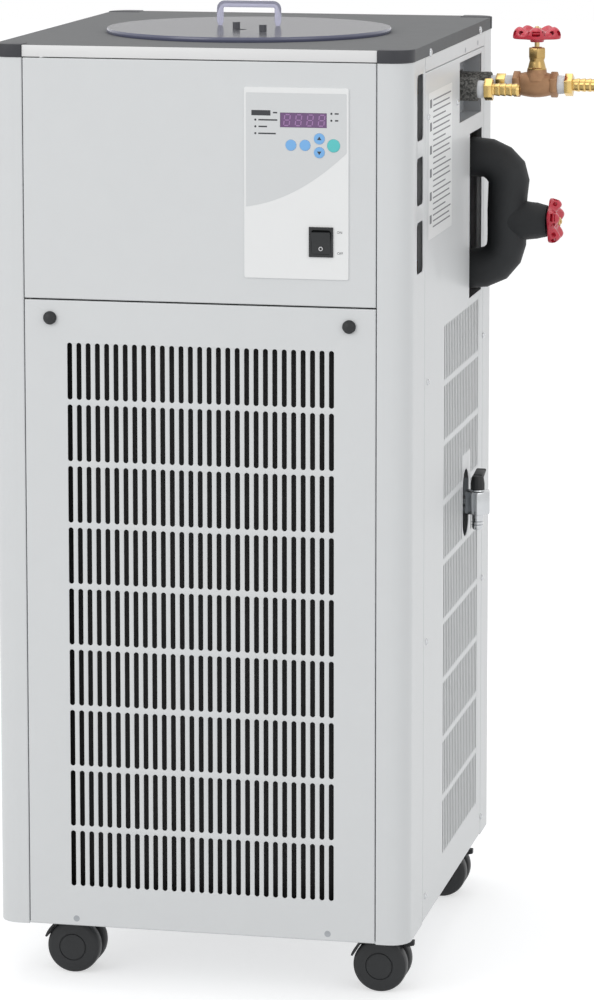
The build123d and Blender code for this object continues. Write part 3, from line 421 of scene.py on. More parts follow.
# Corner posts: side flange, round corner, front flange, returns
posts = {"corner": 22, "face": 34.8, "top": 995, "frontSide": 84.4, "rearStart": 449,
         "gripY": 56, "gripWide": 36, "gripRadius": 6, "grips": ((911, 980), (844, 894), (773, 827))}
allPosts = bmesh.new()
for sidePlane in (leftPlane, rightPlane):
    for rear in (False, True):
        bend = cabinet["bend"]
        near = posts["corner"] if not rear else posts["rearStart"] + bend
        far = posts["frontSide"] - bend if not rear else cabinet["depth"] - posts["corner"]
        post = bmesh.new()
        height = posts["top"] - cabinet["bottom"]
        outline(post, (near + far) / 2, cabinet["bottom"] + height / 2, far - near, height, 0, 4)
        if not rear:
            for low, high in posts["grips"]:
                outline(post, posts["gripY"], (low + high) / 2, posts["gripWide"], high - low,
                        posts["gripRadius"], 24)
        fillOutlines(post)
        corner = [(posts["corner"], 90, posts["face"] - posts["corner"] - bend), (bend, 90, 6)]
        plain = [(bend, 90, 6)]
        foldEdge(post, 0, near, -1, corner if not rear else plain)
        foldEdge(post, 0, far, 1, plain if not rear else corner)
        bmesh.ops.recalc_face_normals(post, faces=post.faces)
        facing = sum(f.normal.z * f.calc_area() for f in post.faces)
        if (facing < 0) == (sidePlane is rightPlane):
            bmesh.ops.reverse_faces(post, faces=post.faces)
        bmesh.ops.transform(post, matrix=sidePlane, verts=post.verts)
        merge(allPosts, post)
mesh = bpy.data.meshes.new("cornerPosts")
allPosts.to_mesh(mesh)
allPosts.free()
mesh.materials.append(finishes["cabinet_paint"])
mesh.shade_smooth()
mesh.set_sharp_from_angle(angle=math.radians(35))
cornerPosts = bpy.data.objects.new("cornerPosts", mesh)
bpy.context.scene.collection.objects.link(cornerPosts)
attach(cornerPosts, "cabinet")
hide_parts("corner_posts")
thicken(cornerPosts, cabinet["postSheet"])

# White trim under the deck edge and the four plastic corner caps
trim = {"half": 188, "low": 996, "high": 1008, "deep": 2.2}
trimBar = block(-trim["half"], trim["half"], 0.3, trim["deep"], trim["low"], trim["high"], 0.6)
merge(trimBar, block(-trim["half"], trim["half"], 0.8, 20, trim["low"], trim["low"] + 1.6))
piece("frontTrim", trimBar, "trim_paint", "cabinet", ["front_trim"], uprightAt(0, 0))

caps = {"low": 995.3, "high": 1008.8, "proud": 1, "front": 34.8, "side": 24, "radius": 23}
allCaps = bmesh.new()
for sideways in (-1, 1):
    for rear in (False, True):
        half = cabinet["halfWidth"]
        cap = bmesh.new()
        outline(cap, 0, cabinet["depth"] / 2, 2 * (half + caps["proud"]),
                cabinet["depth"] + 2 * caps["proud"], caps["radius"], 48)
        fillOutlines(cap)
        frontLimit = caps["side"] if not rear else cabinet["depth"] - caps["side"]
        for spot, normal in (((0, frontLimit, 0), (0, 1 if not rear else -1, 0)),
                             ((sideways * (half - caps["front"]), 0, 0), (-sideways, 0, 0))):
            bmesh.ops.bisect_plane(cap, geom=cap.verts[:] + cap.edges[:] + cap.faces[:],
                                   plane_co=spot, plane_no=normal, clear_outer=True)
        bmesh.ops.dissolve_faces(cap, faces=cap.faces)
        lifted = bmesh.ops.extrude_face_region(cap, geom=cap.faces[:])["geom"]
        bmesh.ops.translate(cap, vec=(0, 0, caps["high"] - caps["low"]),
                            verts=[g for g in lifted if isinstance(g, bmesh.types.BMVert)])
        bmesh.ops.translate(cap, vec=(0, 0, caps["low"]), verts=cap.verts)
        soften(cap, 1.2, 3, 50)
        merge(allCaps, cap)
piece("cornerCaps", allCaps, "cap_plastic", "cabinet", ["corner_caps"], uprightAt(0, 0))
print("posts, trim and caps made")

# Lid with bevelled edge, finger hole, pegs and a bent-rod handle
lid = {"x": 3, "y": 226, "radius": 154, "low": 1008.1, "high": 1013.5, "hole": (0, -41, 6.5),
       "pegs": ((-7, -31), (30, -66)), "pegSize": (4, 7.4)}
disc = bmesh.new()
outline(disc, 0, 0, 2 * lid["radius"] - 2, 2 * lid["radius"] - 2, lid["radius"] - 1, 128)
holeX, holeY, holeRadius = lid["hole"]
outline(disc, holeX, holeY, 2 * holeRadius, 2 * holeRadius, holeRadius, 24)
fillOutlines(disc)
thick = lid["high"] - lid["low"]
raised = bmesh.ops.extrude_face_region(disc, geom=disc.faces[:])["geom"]
bmesh.ops.translate(disc, vec=(0, 0, thick),
                    verts=[g for g in raised if isinstance(g, bmesh.types.BMVert)])
rimFaces = [f for f in disc.faces if abs(f.normal.z) < 0.5
            and f.calc_center_median().length > lid["radius"] - 10]
bmesh.ops.subdivide_edges(disc, edges=[e for e in {e for f in rimFaces for e in f.edges}
                                       if abs(e.verts[0].co.z - e.verts[1].co.z) > 1], cuts=3)
for v in disc.verts:
    if v.co.xy.length > lid["radius"] - 5:
        bulge = 1 - (2 * v.co.z / thick - 1) ** 2
        v.co.xy *= 1 + bulge / lid["radius"]
pegRadius, pegTall = lid["pegSize"]
for pegX, pegY in lid["pegs"]:
    peg = turned([(0, thick), (pegRadius, thick), (pegRadius, thick + pegTall), (0, thick + pegTall)],
                 24)
    bmesh.ops.translate(peg, vec=(pegX, pegY, 0), verts=peg.verts)
    merge(disc, peg)
for f in disc.faces:  # the rim shows the edge colour of the sheet
    spot = f.calc_center_median()
    if spot.xy.length > lid["radius"] - 3 and 0.1 < spot.z < thick - 0.1:
        f.material_index = 1
piece("lidDisc", disc, "clear_acrylic", "lid_set", ["lid"],
      uprightAt(lid["x"], lid["y"], lid["low"]), sharp=40, extra=("lid_edge",))

handle = {"left": -36, "right": 35.5, "y": 240, "top": 1040.8, "rod": 3.7}
rod = handle["rod"]
low, high = lid["high"] + 0.2, handle["top"] - rod
left, right = handle["left"] + rod, handle["right"] - rod
route = [(left, 0, low)]
for corner, start in (((left, high), 180), ((right, high), 90)):
    inward = 1 if corner[0] == left else -1
    for step in range(5):
        angle = math.radians(start - step * 22.5)
        route.append((corner[0] + inward * 5 + 5 * math.cos(angle), 0,
                      corner[1] - 5 + 5 * math.sin(angle)))
route.append((right, 0, low))
radii = [rod * 0.62] + [rod] * (len(route) - 2) + [rod * 0.62]
route.insert(1, (left, 0, low + 5))
route.insert(-1, (right, 0, low + 5))
radii.insert(1, rod)
radii.insert(-1, rod)
piece("lidHandleRod", tube(route, radii, 24), "clear_rod", "lid_set", ["lid_handle"],
      uprightAt(0, handle["y"]))
print("lid made")

# Hose lines
ports = {"z": 941.6, "returnY": 322, "outletY": 397, "sleeve": 13, "pipe": 7}


def nozzlePiece(name, node, y, hexLow, hexHigh, across, tip, barb, tapeLow):
    ribs = 4
    profile = [(0, hexHigh - 1), (6.6, hexHigh - 1), (6.6, hexHigh + 1)]
    pitch = (tip - hexHigh - 3) / ribs
    for rib in range(ribs):
        start = hexHigh + 1.5 + rib * pitch
        profile += [(barb - 0.9, start), (barb - 0.15, start + 0.62 * pitch), (barb, start + 0.8 * pitch),
                    (barb - 0.25, start + 0.95 * pitch)]
    profile += [(barb - 1.1, tip - 1), (barb - 1.6, tip), (4.6, tip), (4.4, tip - 6), (0, tip - 6)]
    bm = turned(profile, 48)
    merge(bm, hexagon(across, hexLow, hexHigh, 0.5, 8))
    merge(bm, turned([(0, tapeLow - 1), (6.8, tapeLow - 1), (6.8, hexLow + 0.5), (0, hexLow + 0.5)]))
    piece(name, bm, "brass", "cabinet", [node], sidewaysAt(0, y, ports["z"]))


def tapeRing(name, y, low, high, radius):
    steps = 7
    profile = [(0, low)] + [(radius + 0.25 * math.sin(7 * k), low + (high - low) * k / steps)
                            for k in range(steps + 1)] + [(0, high)]
    piece(name, turned(profile, 40), "tape", "cabinet", (), sidewaysAt(0, y, ports["z"]), sharp=60)


nozzlePiece("returnNozzle", "return_nozzle", ports["returnY"], 245.4, 254.5, 21.6, 283.7, 7.15, 239)
nozzlePiece("outletNozzle", "outlet_nozzle", ports["outletY"], 323.1, 331.7, 22.5, 360.6, 7.5, 315.5)
tapeRing("returnTape", ports["returnY"], 238, 245.8, 9.6)
tapeRing("outletTapeIn", ports["outletY"], 240.3, 246.5, 9.2)
tapeRing("outletTapeMid", ports["outletY"], 256, 265.7, 9.6)
tapeRing("outletTapeOut", ports["outletY"], 314.5, 323.4, 10.2)

nipple = hexagon(20, 246, 256.4, 0.5)
merge(nipple, turned([(0, 240.3), (7, 240.3), (7, 264.9), (0, 264.9)]))
piece("outletNipple", nipple, "brass", "cabinet", ["outlet_nipple"],
      sidewaysAt(0, ports["outletY"], ports["z"]))

sleeves = bmesh.new()
for y, end in ((ports["returnY"], 238), (ports["outletY"], 240.3)):
    sleeve = turned([(7.2, 180), (12.2, 180), (13, 181), (13, end - 0.8), (12.4, end), (7.2, end),
                     (7.2, 180)], 48)
    merge(sleeves, sleeve, sidewaysAt(0, y, ports["z"]))
piece("pipeSleeves", sleeves, "sleeve_foam", "cabinet", ["pipe_sleeves"])

# Globe valve: cast body, bonnet, packing nut, rising stem
valve = {"x": 291, "low": 265, "high": 314.9, "hexWide": 8, "barrel": 14.4, "hexFlats": 27.5}
middle = valve["x"] - 1.5
body = turned([(0, valve["low"] + 2), (11.6, valve["low"] + 2), (11.8, valve["low"] + 7),
               (12.2, middle - 17), (13.4, middle - 12), (valve["barrel"], middle - 5),
               (valve["barrel"] + 0.2, middle), (valve["barrel"], middle + 5),
               (13.4, middle + 12), (12.2, middle + 17), (11.8, valve["high"] - 7),
               (11.6, valve["high"] - 2), (0, valve["high"] - 2)], 56)
for start in (valve["low"], valve["high"] - valve["hexWide"]):
    merge(body, hexagon(valve["hexFlats"] - 2, start, start + valve["hexWide"], 1.2, 0))
valveMatrix = sidewaysAt(0, ports["outletY"], ports["z"])
bmesh.ops.transform(body, matrix=valveMatrix, verts=body.verts)
neck = turned([(0, 946), (15, 946), (13.6, 951), (12, 953.5), (11, 955.5), (10.8, 958.2), (0, 958.2)],
              48)
merge(body, neck, uprightAt(valve["x"], ports["outletY"]))
piece("valveBody", body, "bronze", "cabinet", ["outlet_valve_body"], sharp=40)
bonnet = turned([(0, 957), (10.4, 957), (10.6, 957.6), (10.6, 959.6), (9.8, 960.4), (9.6, 962),
                 (8.4, 966.5), (8, 968.5), (8.6, 970), (8.6, 971), (0, 971)], 48)
piece("valveBonnet", bonnet, "brass_dark", "cabinet", (), uprightAt(valve["x"], ports["outletY"]))
nut = hexagon(17.6, 970.6, 982.4, 1.1, 12)
merge(nut, turned([(0, 982), (6.4, 982), (5.6, 983.2), (0, 983.2)], 32))
piece("packingNut", nut, "brass_dark", "cabinet", ["outlet_packing_nut"],
      uprightAt(valve["x"], ports["outletY"]))


# Handwheels: five hollow lobes on a flat-bottomed rim, hub skirt, nut on top
wheel = {"lobes": 5, "radius": 27.5, "crest": 13.5, "tall": 13.8, "hub": 9}


def handwheelPiece(name, node, bodyName, matrix, radius, skirt, turn):
    profile = [(3, -skirt), (7.2, -skirt), (7.6, -skirt + 0.8), (8, 0.4), (9.5, 0), (17, 0), (24, 0),
               (26.6, 0.4), (27.5, 1.6), (27.5, 5), (26.9, 8), (25.2, 10.6), (22.8, 12.6), (20.4, 13.5),
               (17.8, 12.9), (15.4, 10.6), (13, 8.2), (10, 7.4), (7.4, 8.8), (5.6, 9.8), (3, 10)]
    bm = turned(profile, 100)
    for v in bm.verts:
        reach = v.co.xy.length
        if reach < wheel["hub"]:
            continue
        bearing = math.atan2(v.co.y, v.co.x) - math.radians(turn)
        lobe = (0.5 + 0.5 * math.cos(wheel["lobes"] * bearing)) ** 0.8
        weight = min(1, (reach - wheel["hub"]) / wheel["hub"])
        v.co.xy *= 1 - 0.2 * (1 - lobe) * weight
        if v.co.z > 0:
            v.co.z *= 1 - 0.4 * (1 - lobe) * weight
    scaling = Matrix.Diagonal((radius / wheel["radius"], radius / wheel["radius"],
                               wheel["tall"] / wheel["crest"], 1))
    bmesh.ops.transform(bm, matrix=scaling, verts=bm.verts)
    made = piece(name, bm, "wheel_red", bodyName, [node], matrix)
    tools = bmesh.new()
    for lobe in range(wheel["lobes"]):
        angle = math.radians(turn + 360 / wheel["lobes"] * lobe)
        spin = Matrix.Rotation(angle, 4, "Z")
        pocket = block(16.5, 32, -4.6, 4.6, 4.2, 9.6, 1.2, 2)
        merge(tools, pocket, matrix @ spin)
        across = turned([(0, -9.5), (2.4, -9.5), (2.4, 9.5), (0, 9.5)], 20)
        merge(tools, across, matrix @ spin @ Matrix.Translation((20.5, 0, 7.2))
              @ Matrix.Rotation(math.pi / 2, 4, "X"))
    carve(made, tools)


wheels = {"outlet": {"place": uprightAt(valve["x"], ports["outletY"], 992.2), "radius": 27.5,
                     "skirt": 3.5, "turn": -84},
          "bypass": {"place": sidewaysAt(306.6, ports["outletY"], 789), "radius": 26,
                     "skirt": 1.5, "turn": 20}}
for line, shape in wheels.items():
    handwheelPiece(line + "Handwheel", line + "_handwheel", line + "_wheel", shape["place"],
                   shape["radius"], shape["skirt"], shape["turn"])
for line, shape in wheels.items():
    top = hexagon(8.4, 9.5, 12.4, 0.4)
    merge(top, turned([(0, 12), (2.2, 12), (2, 13.8), (0, 14.2)], 20))
    piece(line + "WheelNut", top, "steel_stem", line + "_wheel", (), shape["place"])
print("hose lines and valve made")

# Bypass loop: black foam with a cut upper corner, a soft lower corner and a tapered branch
loop = {"y": 397, "radius": 21.9, "path": [(190, 859.6), (222, 859.6), (238, 858.2), (249, 852.5),
                                            (258, 843), (260.6, 833), (259.4, 818), (258.7, 800),
                                            (258.7, 778), (258.2, 764), (255, 751.5), (246, 741),
                                            (232, 735), (216, 733.4), (190, 733.2)],
        "swell": [1, 1, 1.01, 1.03, 1.06, 1.05, 1.0, 1.0, 1.0, 1.0, 0.99, 1.0, 1.02, 1, 1]}
foam = tube([(x, 0, z) for x, z in loop["path"]], [loop["radius"] * s for s in loop["swell"]], 40)
branch = tube([(x, 0, 789.2) for x in (252, 268, 279, 286, 293, 299, 304, 304.4)],
              [20, 22.4, 22, 20.8, 20.2, 18.6, 17.4, 15.5], 40, zAxis)
noise.seed_set(4)  # the same foam in each run
for part in (foam, branch):
    for v in part.verts:
        v.co += 0.7 * noise.noise_vector(v.co / 14)
merge(foam, branch)
piece("bypassFoam", foam, "insulation", "cabinet", ["bypass_foam"], uprightAt(0, loop["y"]), sharp=60)

# Drain valve with its hub knob and short lever
tap = {"x": 236.5, "y": 341, "hexLow": 466.3, "hexHigh": 492, "flats": 27}
tapBody = hexagon(tap["flats"], tap["hexLow"], tap["hexHigh"], 1.6, 8)
merge(tapBody, turned([(0, 448.3), (5, 448.3), (6.4, 451), (6.9, 453.4), (5.9, 454.2), (6.9, 457),
                       (5.9, 458), (6.4, 461), (6.4, 467), (0, 467)], 36))
merge(tapBody, turned([(0, 491), (9, 491), (8.4, 493.4), (0, 493.4)], 36))
crossPipe = turned([(0, -36), (7, -36), (7, 0), (0, 0)], 32)
merge(tapBody, crossPipe, Matrix.Translation((0, 0, 479.2)) @ Matrix.Rotation(math.pi / 2, 4, "Y"))
piece("drainValve", tapBody, "nickel", "cabinet", ["drain_valve"], uprightAt(tap["x"], tap["y"]))
knob = turned([(3.2, 492.6), (7.9, 492.6), (7.9, 500), (6.9, 506.5), (5.6, 508.6), (0, 509)], 40)
for v in knob.verts:
    if v.co.xy.length > 6:
        v.co.xy *= 1 - 0.05 * (0.5 + 0.5 * math.cos(12 * math.atan2(v.co.y, v.co.x)))
lever = block(-5.5, 5.5, 0, 24, 501, 510, 1.5)
for v in lever.verts:
    v.co.z += 0.42 * max(0, v.co.y) * (1 if v.co.z < 506 else 0.22)
merge(knob, lever)
piece("drainKnob", knob, "black_plastic", "drain_tap", ["drain_knob"], uprightAt(tap["x"], tap["y"]))
print("loop and drain made")

# Casters: rounded treads, ring groove on the outer face
casters = {"front_left": (-168.5, 74), "front_right": (168.5, 74), "rear_left": (-168.5, 441),
           "rear_right": (168.5, 441)}
caster = {"trail": 13.7, "radius": 28.9, "tread": 17, "gap": 10, "groove": 14.3, "height": 29}
for casterName, (x, y) in casters.items():
    bm = bmesh.new()
    half = caster["gap"] / 2
    outer = half + caster["tread"]
    for face in (-1, 1):
        rim, groove = caster["radius"], caster["groove"]
        roller = turned([(4.2, half), (rim - 5, half), (rim - 1.2, half + 1), (rim, half + 3),
                         (rim, outer - 5), (rim - 0.8, outer - 2.4), (rim - 2.6, outer - 1),
                         (rim - 5.5, outer - 0.4), (groove + 0.7, outer + 0.2),
                         (groove + 0.2, outer - 0.6), (groove - 0.4, outer - 0.6),
                         (groove - 0.8, outer + 0.3), (0, outer + 0.3)], 72)
        bmesh.ops.transform(roller, matrix=Matrix.Diagonal((1, 1, face, 1)), verts=roller.verts)
        merge(bm, roller)
    piece("casterWheels_" + casterName, bm, "black_plastic", "wheels_" + casterName,
          ["caster_wheels_" + casterName], facingAt(x + caster["trail"], y, caster["height"]))
print("casters made")

# Control panel: plate, grey field under a sweep, prints, keys, display digits
control = {"left": 49.3, "right": 158.9, "bottom": 771.5, "top": 969, "thick": 1.5, "radius": 2.2}
display = {"left": 87.1, "right": 136.2, "bottom": 928, "top": 943.3}
rocker = {"x": 130.25, "z": 810.3, "opening": (22.5, 28.2), "frame": (25.3, 31),
          "inside": (20.6, 25.2), "dash": 814.4, "zero": 803.6, "tilt": 8}
keys = {"pump": (98.6, 909.8, 5.8, "key_blue"), "set": (113.4, 909.9, 5.8, "key_blue"),
        "up": (128.4, 916.9, 5.8, "key_blue"), "down": (128.4, 902.7, 5.8, "key_blue"),
        "start": (143.3, 910, 6.9, "key_green")}


def panelHoles(bm):
    outline(bm, (display["left"] + display["right"]) / 2, (display["bottom"] + display["top"]) / 2,
            display["right"] - display["left"], display["top"] - display["bottom"], 0.3, 8)
    for x, z, radius, colour in keys.values():
        outline(bm, x, z, 2 * radius, 2 * radius, radius, 32)


plate = bmesh.new()
outline(plate, (control["left"] + control["right"]) / 2, (control["bottom"] + control["top"]) / 2,
        control["right"] - control["left"], control["top"] - control["bottom"], control["radius"], 32)
panelHoles(plate)
outline(plate, rocker["x"], rocker["z"], *rocker["opening"], 0.3, 8)
fillOutlines(plate)
bmesh.ops.translate(plate, vec=(0, 0, control["thick"]), verts=plate.verts)
thicken(piece("controlPlate", plate, "panel_film", "cabinet", ["control_panel"], frontPlane, -yAxis),
        control["thick"], 0.3)


def onPanel(height):
    return frontPlane @ Matrix.Translation((0, 0, control["thick"] + height))


field = bmesh.new()
sweep = {"left": 845.3, "right": 902.4, "edge": 1.9, "head": 5.6, "middle": 904}
fieldWide = control["right"] - control["left"] - 2 * sweep["edge"]
outline(field, (control["left"] + control["right"]) / 2, sweep["middle"], fieldWide,
        2 * (control["top"] - sweep["head"] - sweep["middle"]), 1.2, 32)
edgeLow = [e for e in field.edges if all(v.co.y < sweep["middle"] for v in e.verts)
           and abs(e.verts[0].co.x - e.verts[1].co.x) > fieldWide / 2]
bmesh.ops.subdivide_edges(field, edges=edgeLow, cuts=24)
for v in field.verts:
    if v.co.y < sweep["middle"]:
        share = (v.co.x - control["left"] - sweep["edge"]) / fieldWide
        v.co.y = sweep["left"] + (sweep["right"] - sweep["left"]) * (0.26 * share + 0.74 * share ** 2.05)
panelHoles(field)
fillOutlines(field)
piece("greyField", field, "panel_grey", "cabinet", (), onPanel(0.06), -yAxis)

prints = bmesh.new()
marks = [(67.1, 942.6, 20.1, 5.5, 0, 4)]
for x, z in ((61.2, 935.4), (61.2, 928.5), (61.2, 921.4), (141, 942.9), (141, 935.8)):
    marks.append((x, z, 2.3, 2.3, 1.15, 16))
for x, z, wide in ((74.4, 935.4, 20), (69, 928.5, 9), (73.5, 921.4, 18.5), (82, 943, 4.5),
                   (146.5, 942.9, 4.2), (146.5, 935.8, 3.4)):
    marks.append((x, z, wide, 1.5, 0, 4))
for mark in marks:
    stroke = bmesh.new()
    outline(stroke, *mark)
    fillOutlines(stroke)
    merge(prints, stroke)
piece("panelPrints", prints, "ink", "cabinet", (), onPanel(0.1), -yAxis)


def lettering(name, words, size, x, z):
    text = bpy.data.curves.new(name, "FONT")
    text.body = words
    text.size = size
    text.align_x = "CENTER"
    text.align_y = "CENTER"
    text.extrude = 0
    text.resolution_u = 3
    holder = bpy.data.objects.new(name, text)
    bpy.context.scene.collection.objects.link(holder)
    graph = bpy.context.evaluated_depsgraph_get()
    flat = bpy.data.meshes.new_from_object(holder.evaluated_get(graph))
    bpy.data.objects.remove(holder)
    bm = bmesh.new()
    bm.from_mesh(flat)
    bpy.data.meshes.remove(flat)
    piece(name, bm, "ink", "cabinet", (), onPanel(0.1) @ Matrix.Translation((x, z, 0)), -yAxis)


lettering("markOn", "ON", 3.6, 149.6, 820.6)
lettering("markOff", "OFF", 3.6, 150.2, 798.9)

for keyName, (x, z, radius, colour) in keys.items():
    cap = turned([(0, -0.4), (radius - 0.15, -0.4), (radius - 0.15, 0.25), (radius - 0.5, 0.55),
                  (radius - 1.6, 0.62), (0, 0.64)], 48)
    piece("keyCap_" + keyName, cap, colour, "key_" + keyName + "_cap", ["key_" + keyName],
          onPanel(0) @ Matrix.Translation((x, z, 0)))
    if keyName in ("up", "down"):
        arrow = bmesh.new()
        bmesh.ops.create_circle(arrow, cap_ends=True, segments=3, radius=2.7,
                                matrix=Matrix.Rotation(math.pi if keyName == "down" else 0, 4, "Z"))
        for v in arrow.verts:
            v.co.y *= 0.9
        piece("keyArrow_" + keyName, arrow, "ink", "key_" + keyName + "_cap", (),
              onPanel(0.7) @ Matrix.Translation((x, z, 0)), -yAxis)

segments = {"a": (0, 1, 1), "g": (0, 0, 1), "d": (0, -1, 1), "f": (-1, 0.5, 0), "b": (1, 0.5, 0),
            "e": (-1, -0.5, 0), "c": (1, -0.5, 0)}
digits = {"first": 94.4, "pitch": 12.1, "middle": 935.6, "halfHigh": 5.6, "halfWide": 2.9,
          "bar": 1.15, "slant": 0.12}
faces = bmesh.new()
for place in range(4):
    for sideX, sideZ, flat in segments.values():
        bar = bmesh.new()
        wide = 2 * digits["halfWide"] - 1.5 if flat else digits["bar"]
        high = digits["bar"] if flat else digits["halfHigh"] - 1.4
        x = sideX * digits["halfWide"]
        z = sideZ * digits["halfHigh"]
        outline(bar, x, z, wide, high, 0.4, 8)
        fillOutlines(bar)
        for v in bar.verts:
            v.co.x += digits["slant"] * v.co.y
        merge(faces, bar, Matrix.Translation((digits["first"] + place * digits["pitch"],
                                              digits["middle"], 0)))
piece("displayDigits", faces, "display_digit", "cabinet", (), onPanel(-0.3), -yAxis)

frameBar = bmesh.new()
outline(frameBar, rocker["x"], rocker["z"], *rocker["frame"], 1.2, 24)
outline(frameBar, rocker["x"], rocker["z"], *rocker["inside"], 3, 24)
fillOutlines(frameBar)
bmesh.ops.translate(frameBar, vec=(0, 0, 1.5), verts=frameBar.verts)
thicken(piece("rockerFrame", frameBar, "black_plastic", "cabinet", (), onPanel(0), -yAxis), 1.45, 0.35)
dash = bmesh.new()
outline(dash, rocker["x"], rocker["dash"], 1, 4, 0.2, 8)
fillOutlines(dash)
zero = bmesh.new()
outline(zero, rocker["x"], rocker["zero"], 4.4, 4.4, 2.2, 24)
outline(zero, rocker["x"], rocker["zero"], 2.8, 2.8, 1.4, 24)
fillOutlines(zero)
for v in dash.verts[:] + zero.verts[:]:
    v.co.z = 0.12 + abs(v.co.y - rocker["z"]) * math.tan(math.radians(rocker["tilt"]))
merge(dash, zero)
piece("rockerMarks", dash, "pale_ink", "power_rocker", (), onPanel(1.4), -yAxis)
print("control panel made")

# Front knobs and the pressed dimples near the foot
for sideName, knobX in grille["knobs"].items():
    bm = turned([(0, -4), (4, -4), (4, 0.1), (7, 0.1), (7, 2.2), (6.6, 3.2), (5.4, 4.6), (3.4, 5.8),
                 (0, 6.3)], 40)
    piece("panelKnob_" + sideName, bm, "black_plastic", "knob_" + sideName,
          ["panel_knob_" + sideName], facingAt(knobX, 0, grille["knobHeight"]))
# The pressed dimples are near-flat discs in the darker recess grey: painted shade for the hollows
dimples = bmesh.new()
for x in (-136, 137):
    merge(dimples, turned([(0, 0.05), (2.6, 0.05), (3, 0.2), (3.4, 0.05)], 24), facingAt(x, 0, 77))
for y, z in ((325, 984), (405, 986)):
    merge(dimples, turned([(0, 0.1), (2.2, 0.1), (2.6, 0.3), (3, 0.1)], 24),
          sidewaysAt(cabinet["halfWidth"], y, z))
piece("pressedDimplesShadePainted", dimples, "recess_paint", "cabinet")

screws = {"deck": ((111, 998.4), (419, 998.9)),
          "side": ((274.5, 931.5), (100, 932), (102, 651.5), (451, 650.6), (451, 370), (100, 372.8),
                   (452, 89), (98.6, 95.3))}
heads = bmesh.new()
for spots, size in ((screws["deck"], 4.4), (screws["side"], 3.4)):
    for y, z in spots:
        head = turned([(0, 0), (size, 0), (size, 0.4), (size * 0.86, 1.4), (size * 0.5, 2.1), (0, 2.3)], 28)
        merge(heads, head, sidewaysAt(cabinet["halfWidth"], y, z))
piece("sideScrews", heads, "nickel", "cabinet")
print("small parts made")

# Plain ruled patch where the real cabinet has a printed sheet
patchSheet = {"low": 103, "high": 243, "bottom": 801, "top": 956, "pitch": 6.1, "rule": 1.5}
sheet = bmesh.new()
outline(sheet, (patchSheet["low"] + patchSheet["high"]) / 2,
        (patchSheet["bottom"] + patchSheet["top"]) / 2, patchSheet["high"] - patchSheet["low"],
        patchSheet["top"] - patchSheet["bottom"], 3, 16)
fillOutlines(sheet)
piece("ruledPatch", sheet, "panel_film", "cabinet", (),
      rightPlane @ Matrix.Translation((0, 0, 0.12)), xAxis)
rules = bmesh.new()
rows = int((patchSheet["top"] - patchSheet["bottom"] - 12) / patchSheet["pitch"])
for row in range(rows):
    share = (1.0, 0.92, 0.97, 0.7)[row % 4]
    wide = (patchSheet["high"] - patchSheet["low"] - 34) * share
    rule = bmesh.new()
    outline(rule, patchSheet["low"] + 26 + wide / 2, patchSheet["top"] - 9 - row * patchSheet["pitch"],
            wide, patchSheet["rule"], 0, 4)
    fillOutlines(rule)
    merge(rules, rule)
    if row % 4 == 0:
        square = bmesh.new()
        outline(square, patchSheet["low"] + 13, patchSheet["top"] - 12 - row * patchSheet["pitch"],
                11, 9, 0, 4)
        fillOutlines(square)
        merge(rules, square)
piece("patchRules", rules, "rule_grey", "cabinet", (),
      rightPlane @ Matrix.Translation((0, 0, 0.2)), xAxis)

# Stage
stage = {"floor": (206, 207, 208), "world": 0.78, "glow": 0.55}
floorMesh = bmesh.new()
bmesh.ops.create_circle(floorMesh, cap_ends=True, segments=96, radius=14)
floorData = bpy.data.meshes.new("floor")
floorMesh.to_mesh(floorData)
floorMesh.free()
floorObject = bpy.data.objects.new("floor", floorData)
bpy.context.scene.collection.objects.link(floorObject)
floorMaterial = bpy.data.materials.new("paleFloor")
floorMaterial.use_nodes = True
tree = floorMaterial.node_tree
tree.nodes.remove(tree.nodes["Principled BSDF"])
diffuse = tree.nodes.new("ShaderNodeBsdfDiffuse")
diffuse.inputs["Color"].default_value = tone(stage["floor"])
glow = tree.nodes.new("ShaderNodeEmission")
path = tree.nodes.new("ShaderNodeLightPath")
seen = tree.nodes.new("ShaderNodeMath")
seen.operation = "MULTIPLY"
seen.inputs[1].default_value = stage["glow"]
either = tree.nodes.new("ShaderNodeMath")
either.operation = "MAXIMUM"
tree.links.new(path.outputs["Is Camera Ray"], either.inputs[0])
tree.links.new(path.outputs["Is Glossy Ray"], either.inputs[1])
tree.links.new(either.outputs[0], seen.inputs[0])
tree.links.new(seen.outputs[0], glow.inputs["Strength"])
both = tree.nodes.new("ShaderNodeAddShader")
tree.links.new(diffuse.outputs[0], both.inputs[0])
tree.links.new(glow.outputs[0], both.inputs[1])
tree.links.new(both.outputs[0], tree.nodes["Material Output"].inputs["Surface"])
floorData.materials.append(floorMaterial)

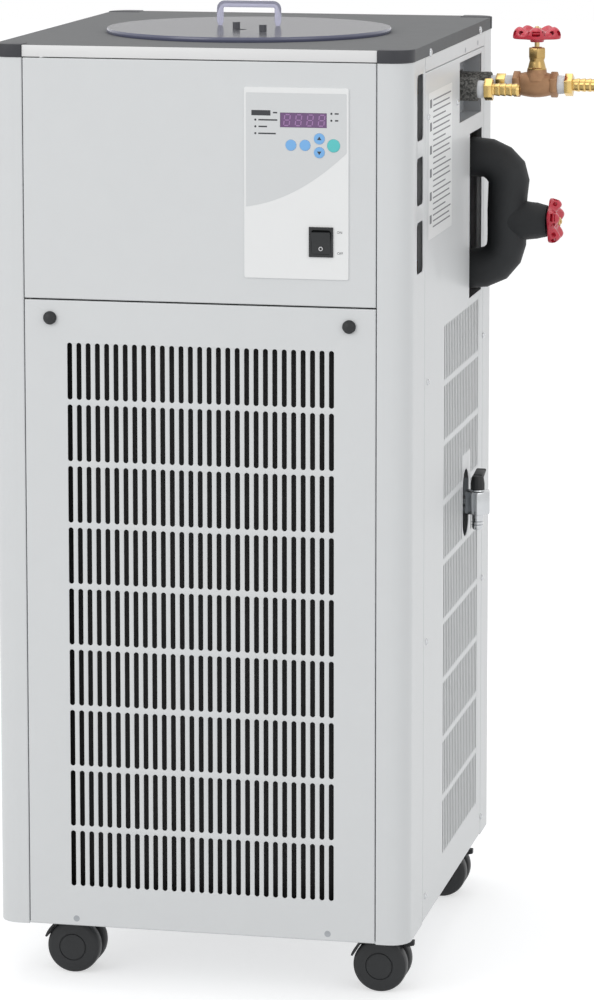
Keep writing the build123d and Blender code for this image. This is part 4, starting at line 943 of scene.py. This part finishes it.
world = bpy.data.worlds.new("softWhite")
bpy.context.scene.world = world
world.use_nodes = True
skyNodes, skyLinks = world.node_tree.nodes, world.node_tree.links
background = skyNodes["Background"]
rays = skyNodes.new("ShaderNodeLightPath")
seenDirect = skyNodes.new("ShaderNodeMath")
seenDirect.operation = "MAXIMUM"
skyLinks.new(rays.outputs["Is Camera Ray"], seenDirect.inputs[0])
skyLinks.new(rays.outputs["Is Glossy Ray"], seenDirect.inputs[1])
seenAny = skyNodes.new("ShaderNodeMath")
seenAny.operation = "MAXIMUM"
skyLinks.new(seenDirect.outputs[0], seenAny.inputs[0])
skyLinks.new(rays.outputs["Is Transmission Ray"], seenAny.inputs[1])
level = skyNodes.new("ShaderNodeMapRange")
level.inputs["To Min"].default_value = stage["world"]
level.inputs["To Max"].default_value = 1.0
skyLinks.new(seenAny.outputs[0], level.inputs["Value"])
skyLinks.new(level.outputs["Result"], background.inputs["Strength"])
background.inputs["Color"].default_value = (1, 1, 1, 1)

lamps = {"key": ((-2.6, -3.4, 2.6), 2.4, 42), "fill": ((2.8, -2.2, 2.2), 1.8, 12),
         "top": ((-0.2, 0.4, 3.4), 2.0, 14)}
for lampName, (spot, size, power) in lamps.items():
    light = bpy.data.lights.new(lampName, "AREA")
    light.shape = "SQUARE"
    light.size = size
    light.energy = power
    lamp = bpy.data.objects.new(lampName, light)
    lamp.location = spot
    lamp.rotation_euler = (Vector((0, 0, 0.55)) - Vector(spot)).to_track_quat("-Z", "Y").to_euler()
    bpy.context.scene.collection.objects.link(lamp)

view = {"spot": (994.0268, -4116.4485, 1343.8912), "yaw": 0.2083, "pitch": 0.1354,
        "focal": 4123.9241, "shift": (-0.0184, -0.22)}
cameraData = bpy.data.cameras.new("camera")
cameraData.sensor_width = 36
cameraData.lens = view["focal"] * cameraData.sensor_width / 1000  # the picture is 1000 px high
cameraData.shift_x, cameraData.shift_y = view["shift"]
cameraData.clip_end = 60
camera = bpy.data.objects.new("camera", cameraData)
camera.location = at(*view["spot"])
camera.rotation_euler = (math.pi / 2 - view["pitch"], 0, view["yaw"])
bpy.context.scene.collection.objects.link(camera)
bpy.context.scene.camera = camera
bpy.context.scene.view_settings.view_transform = "Standard"
print("stage set")

bpy.context.view_layer.update()
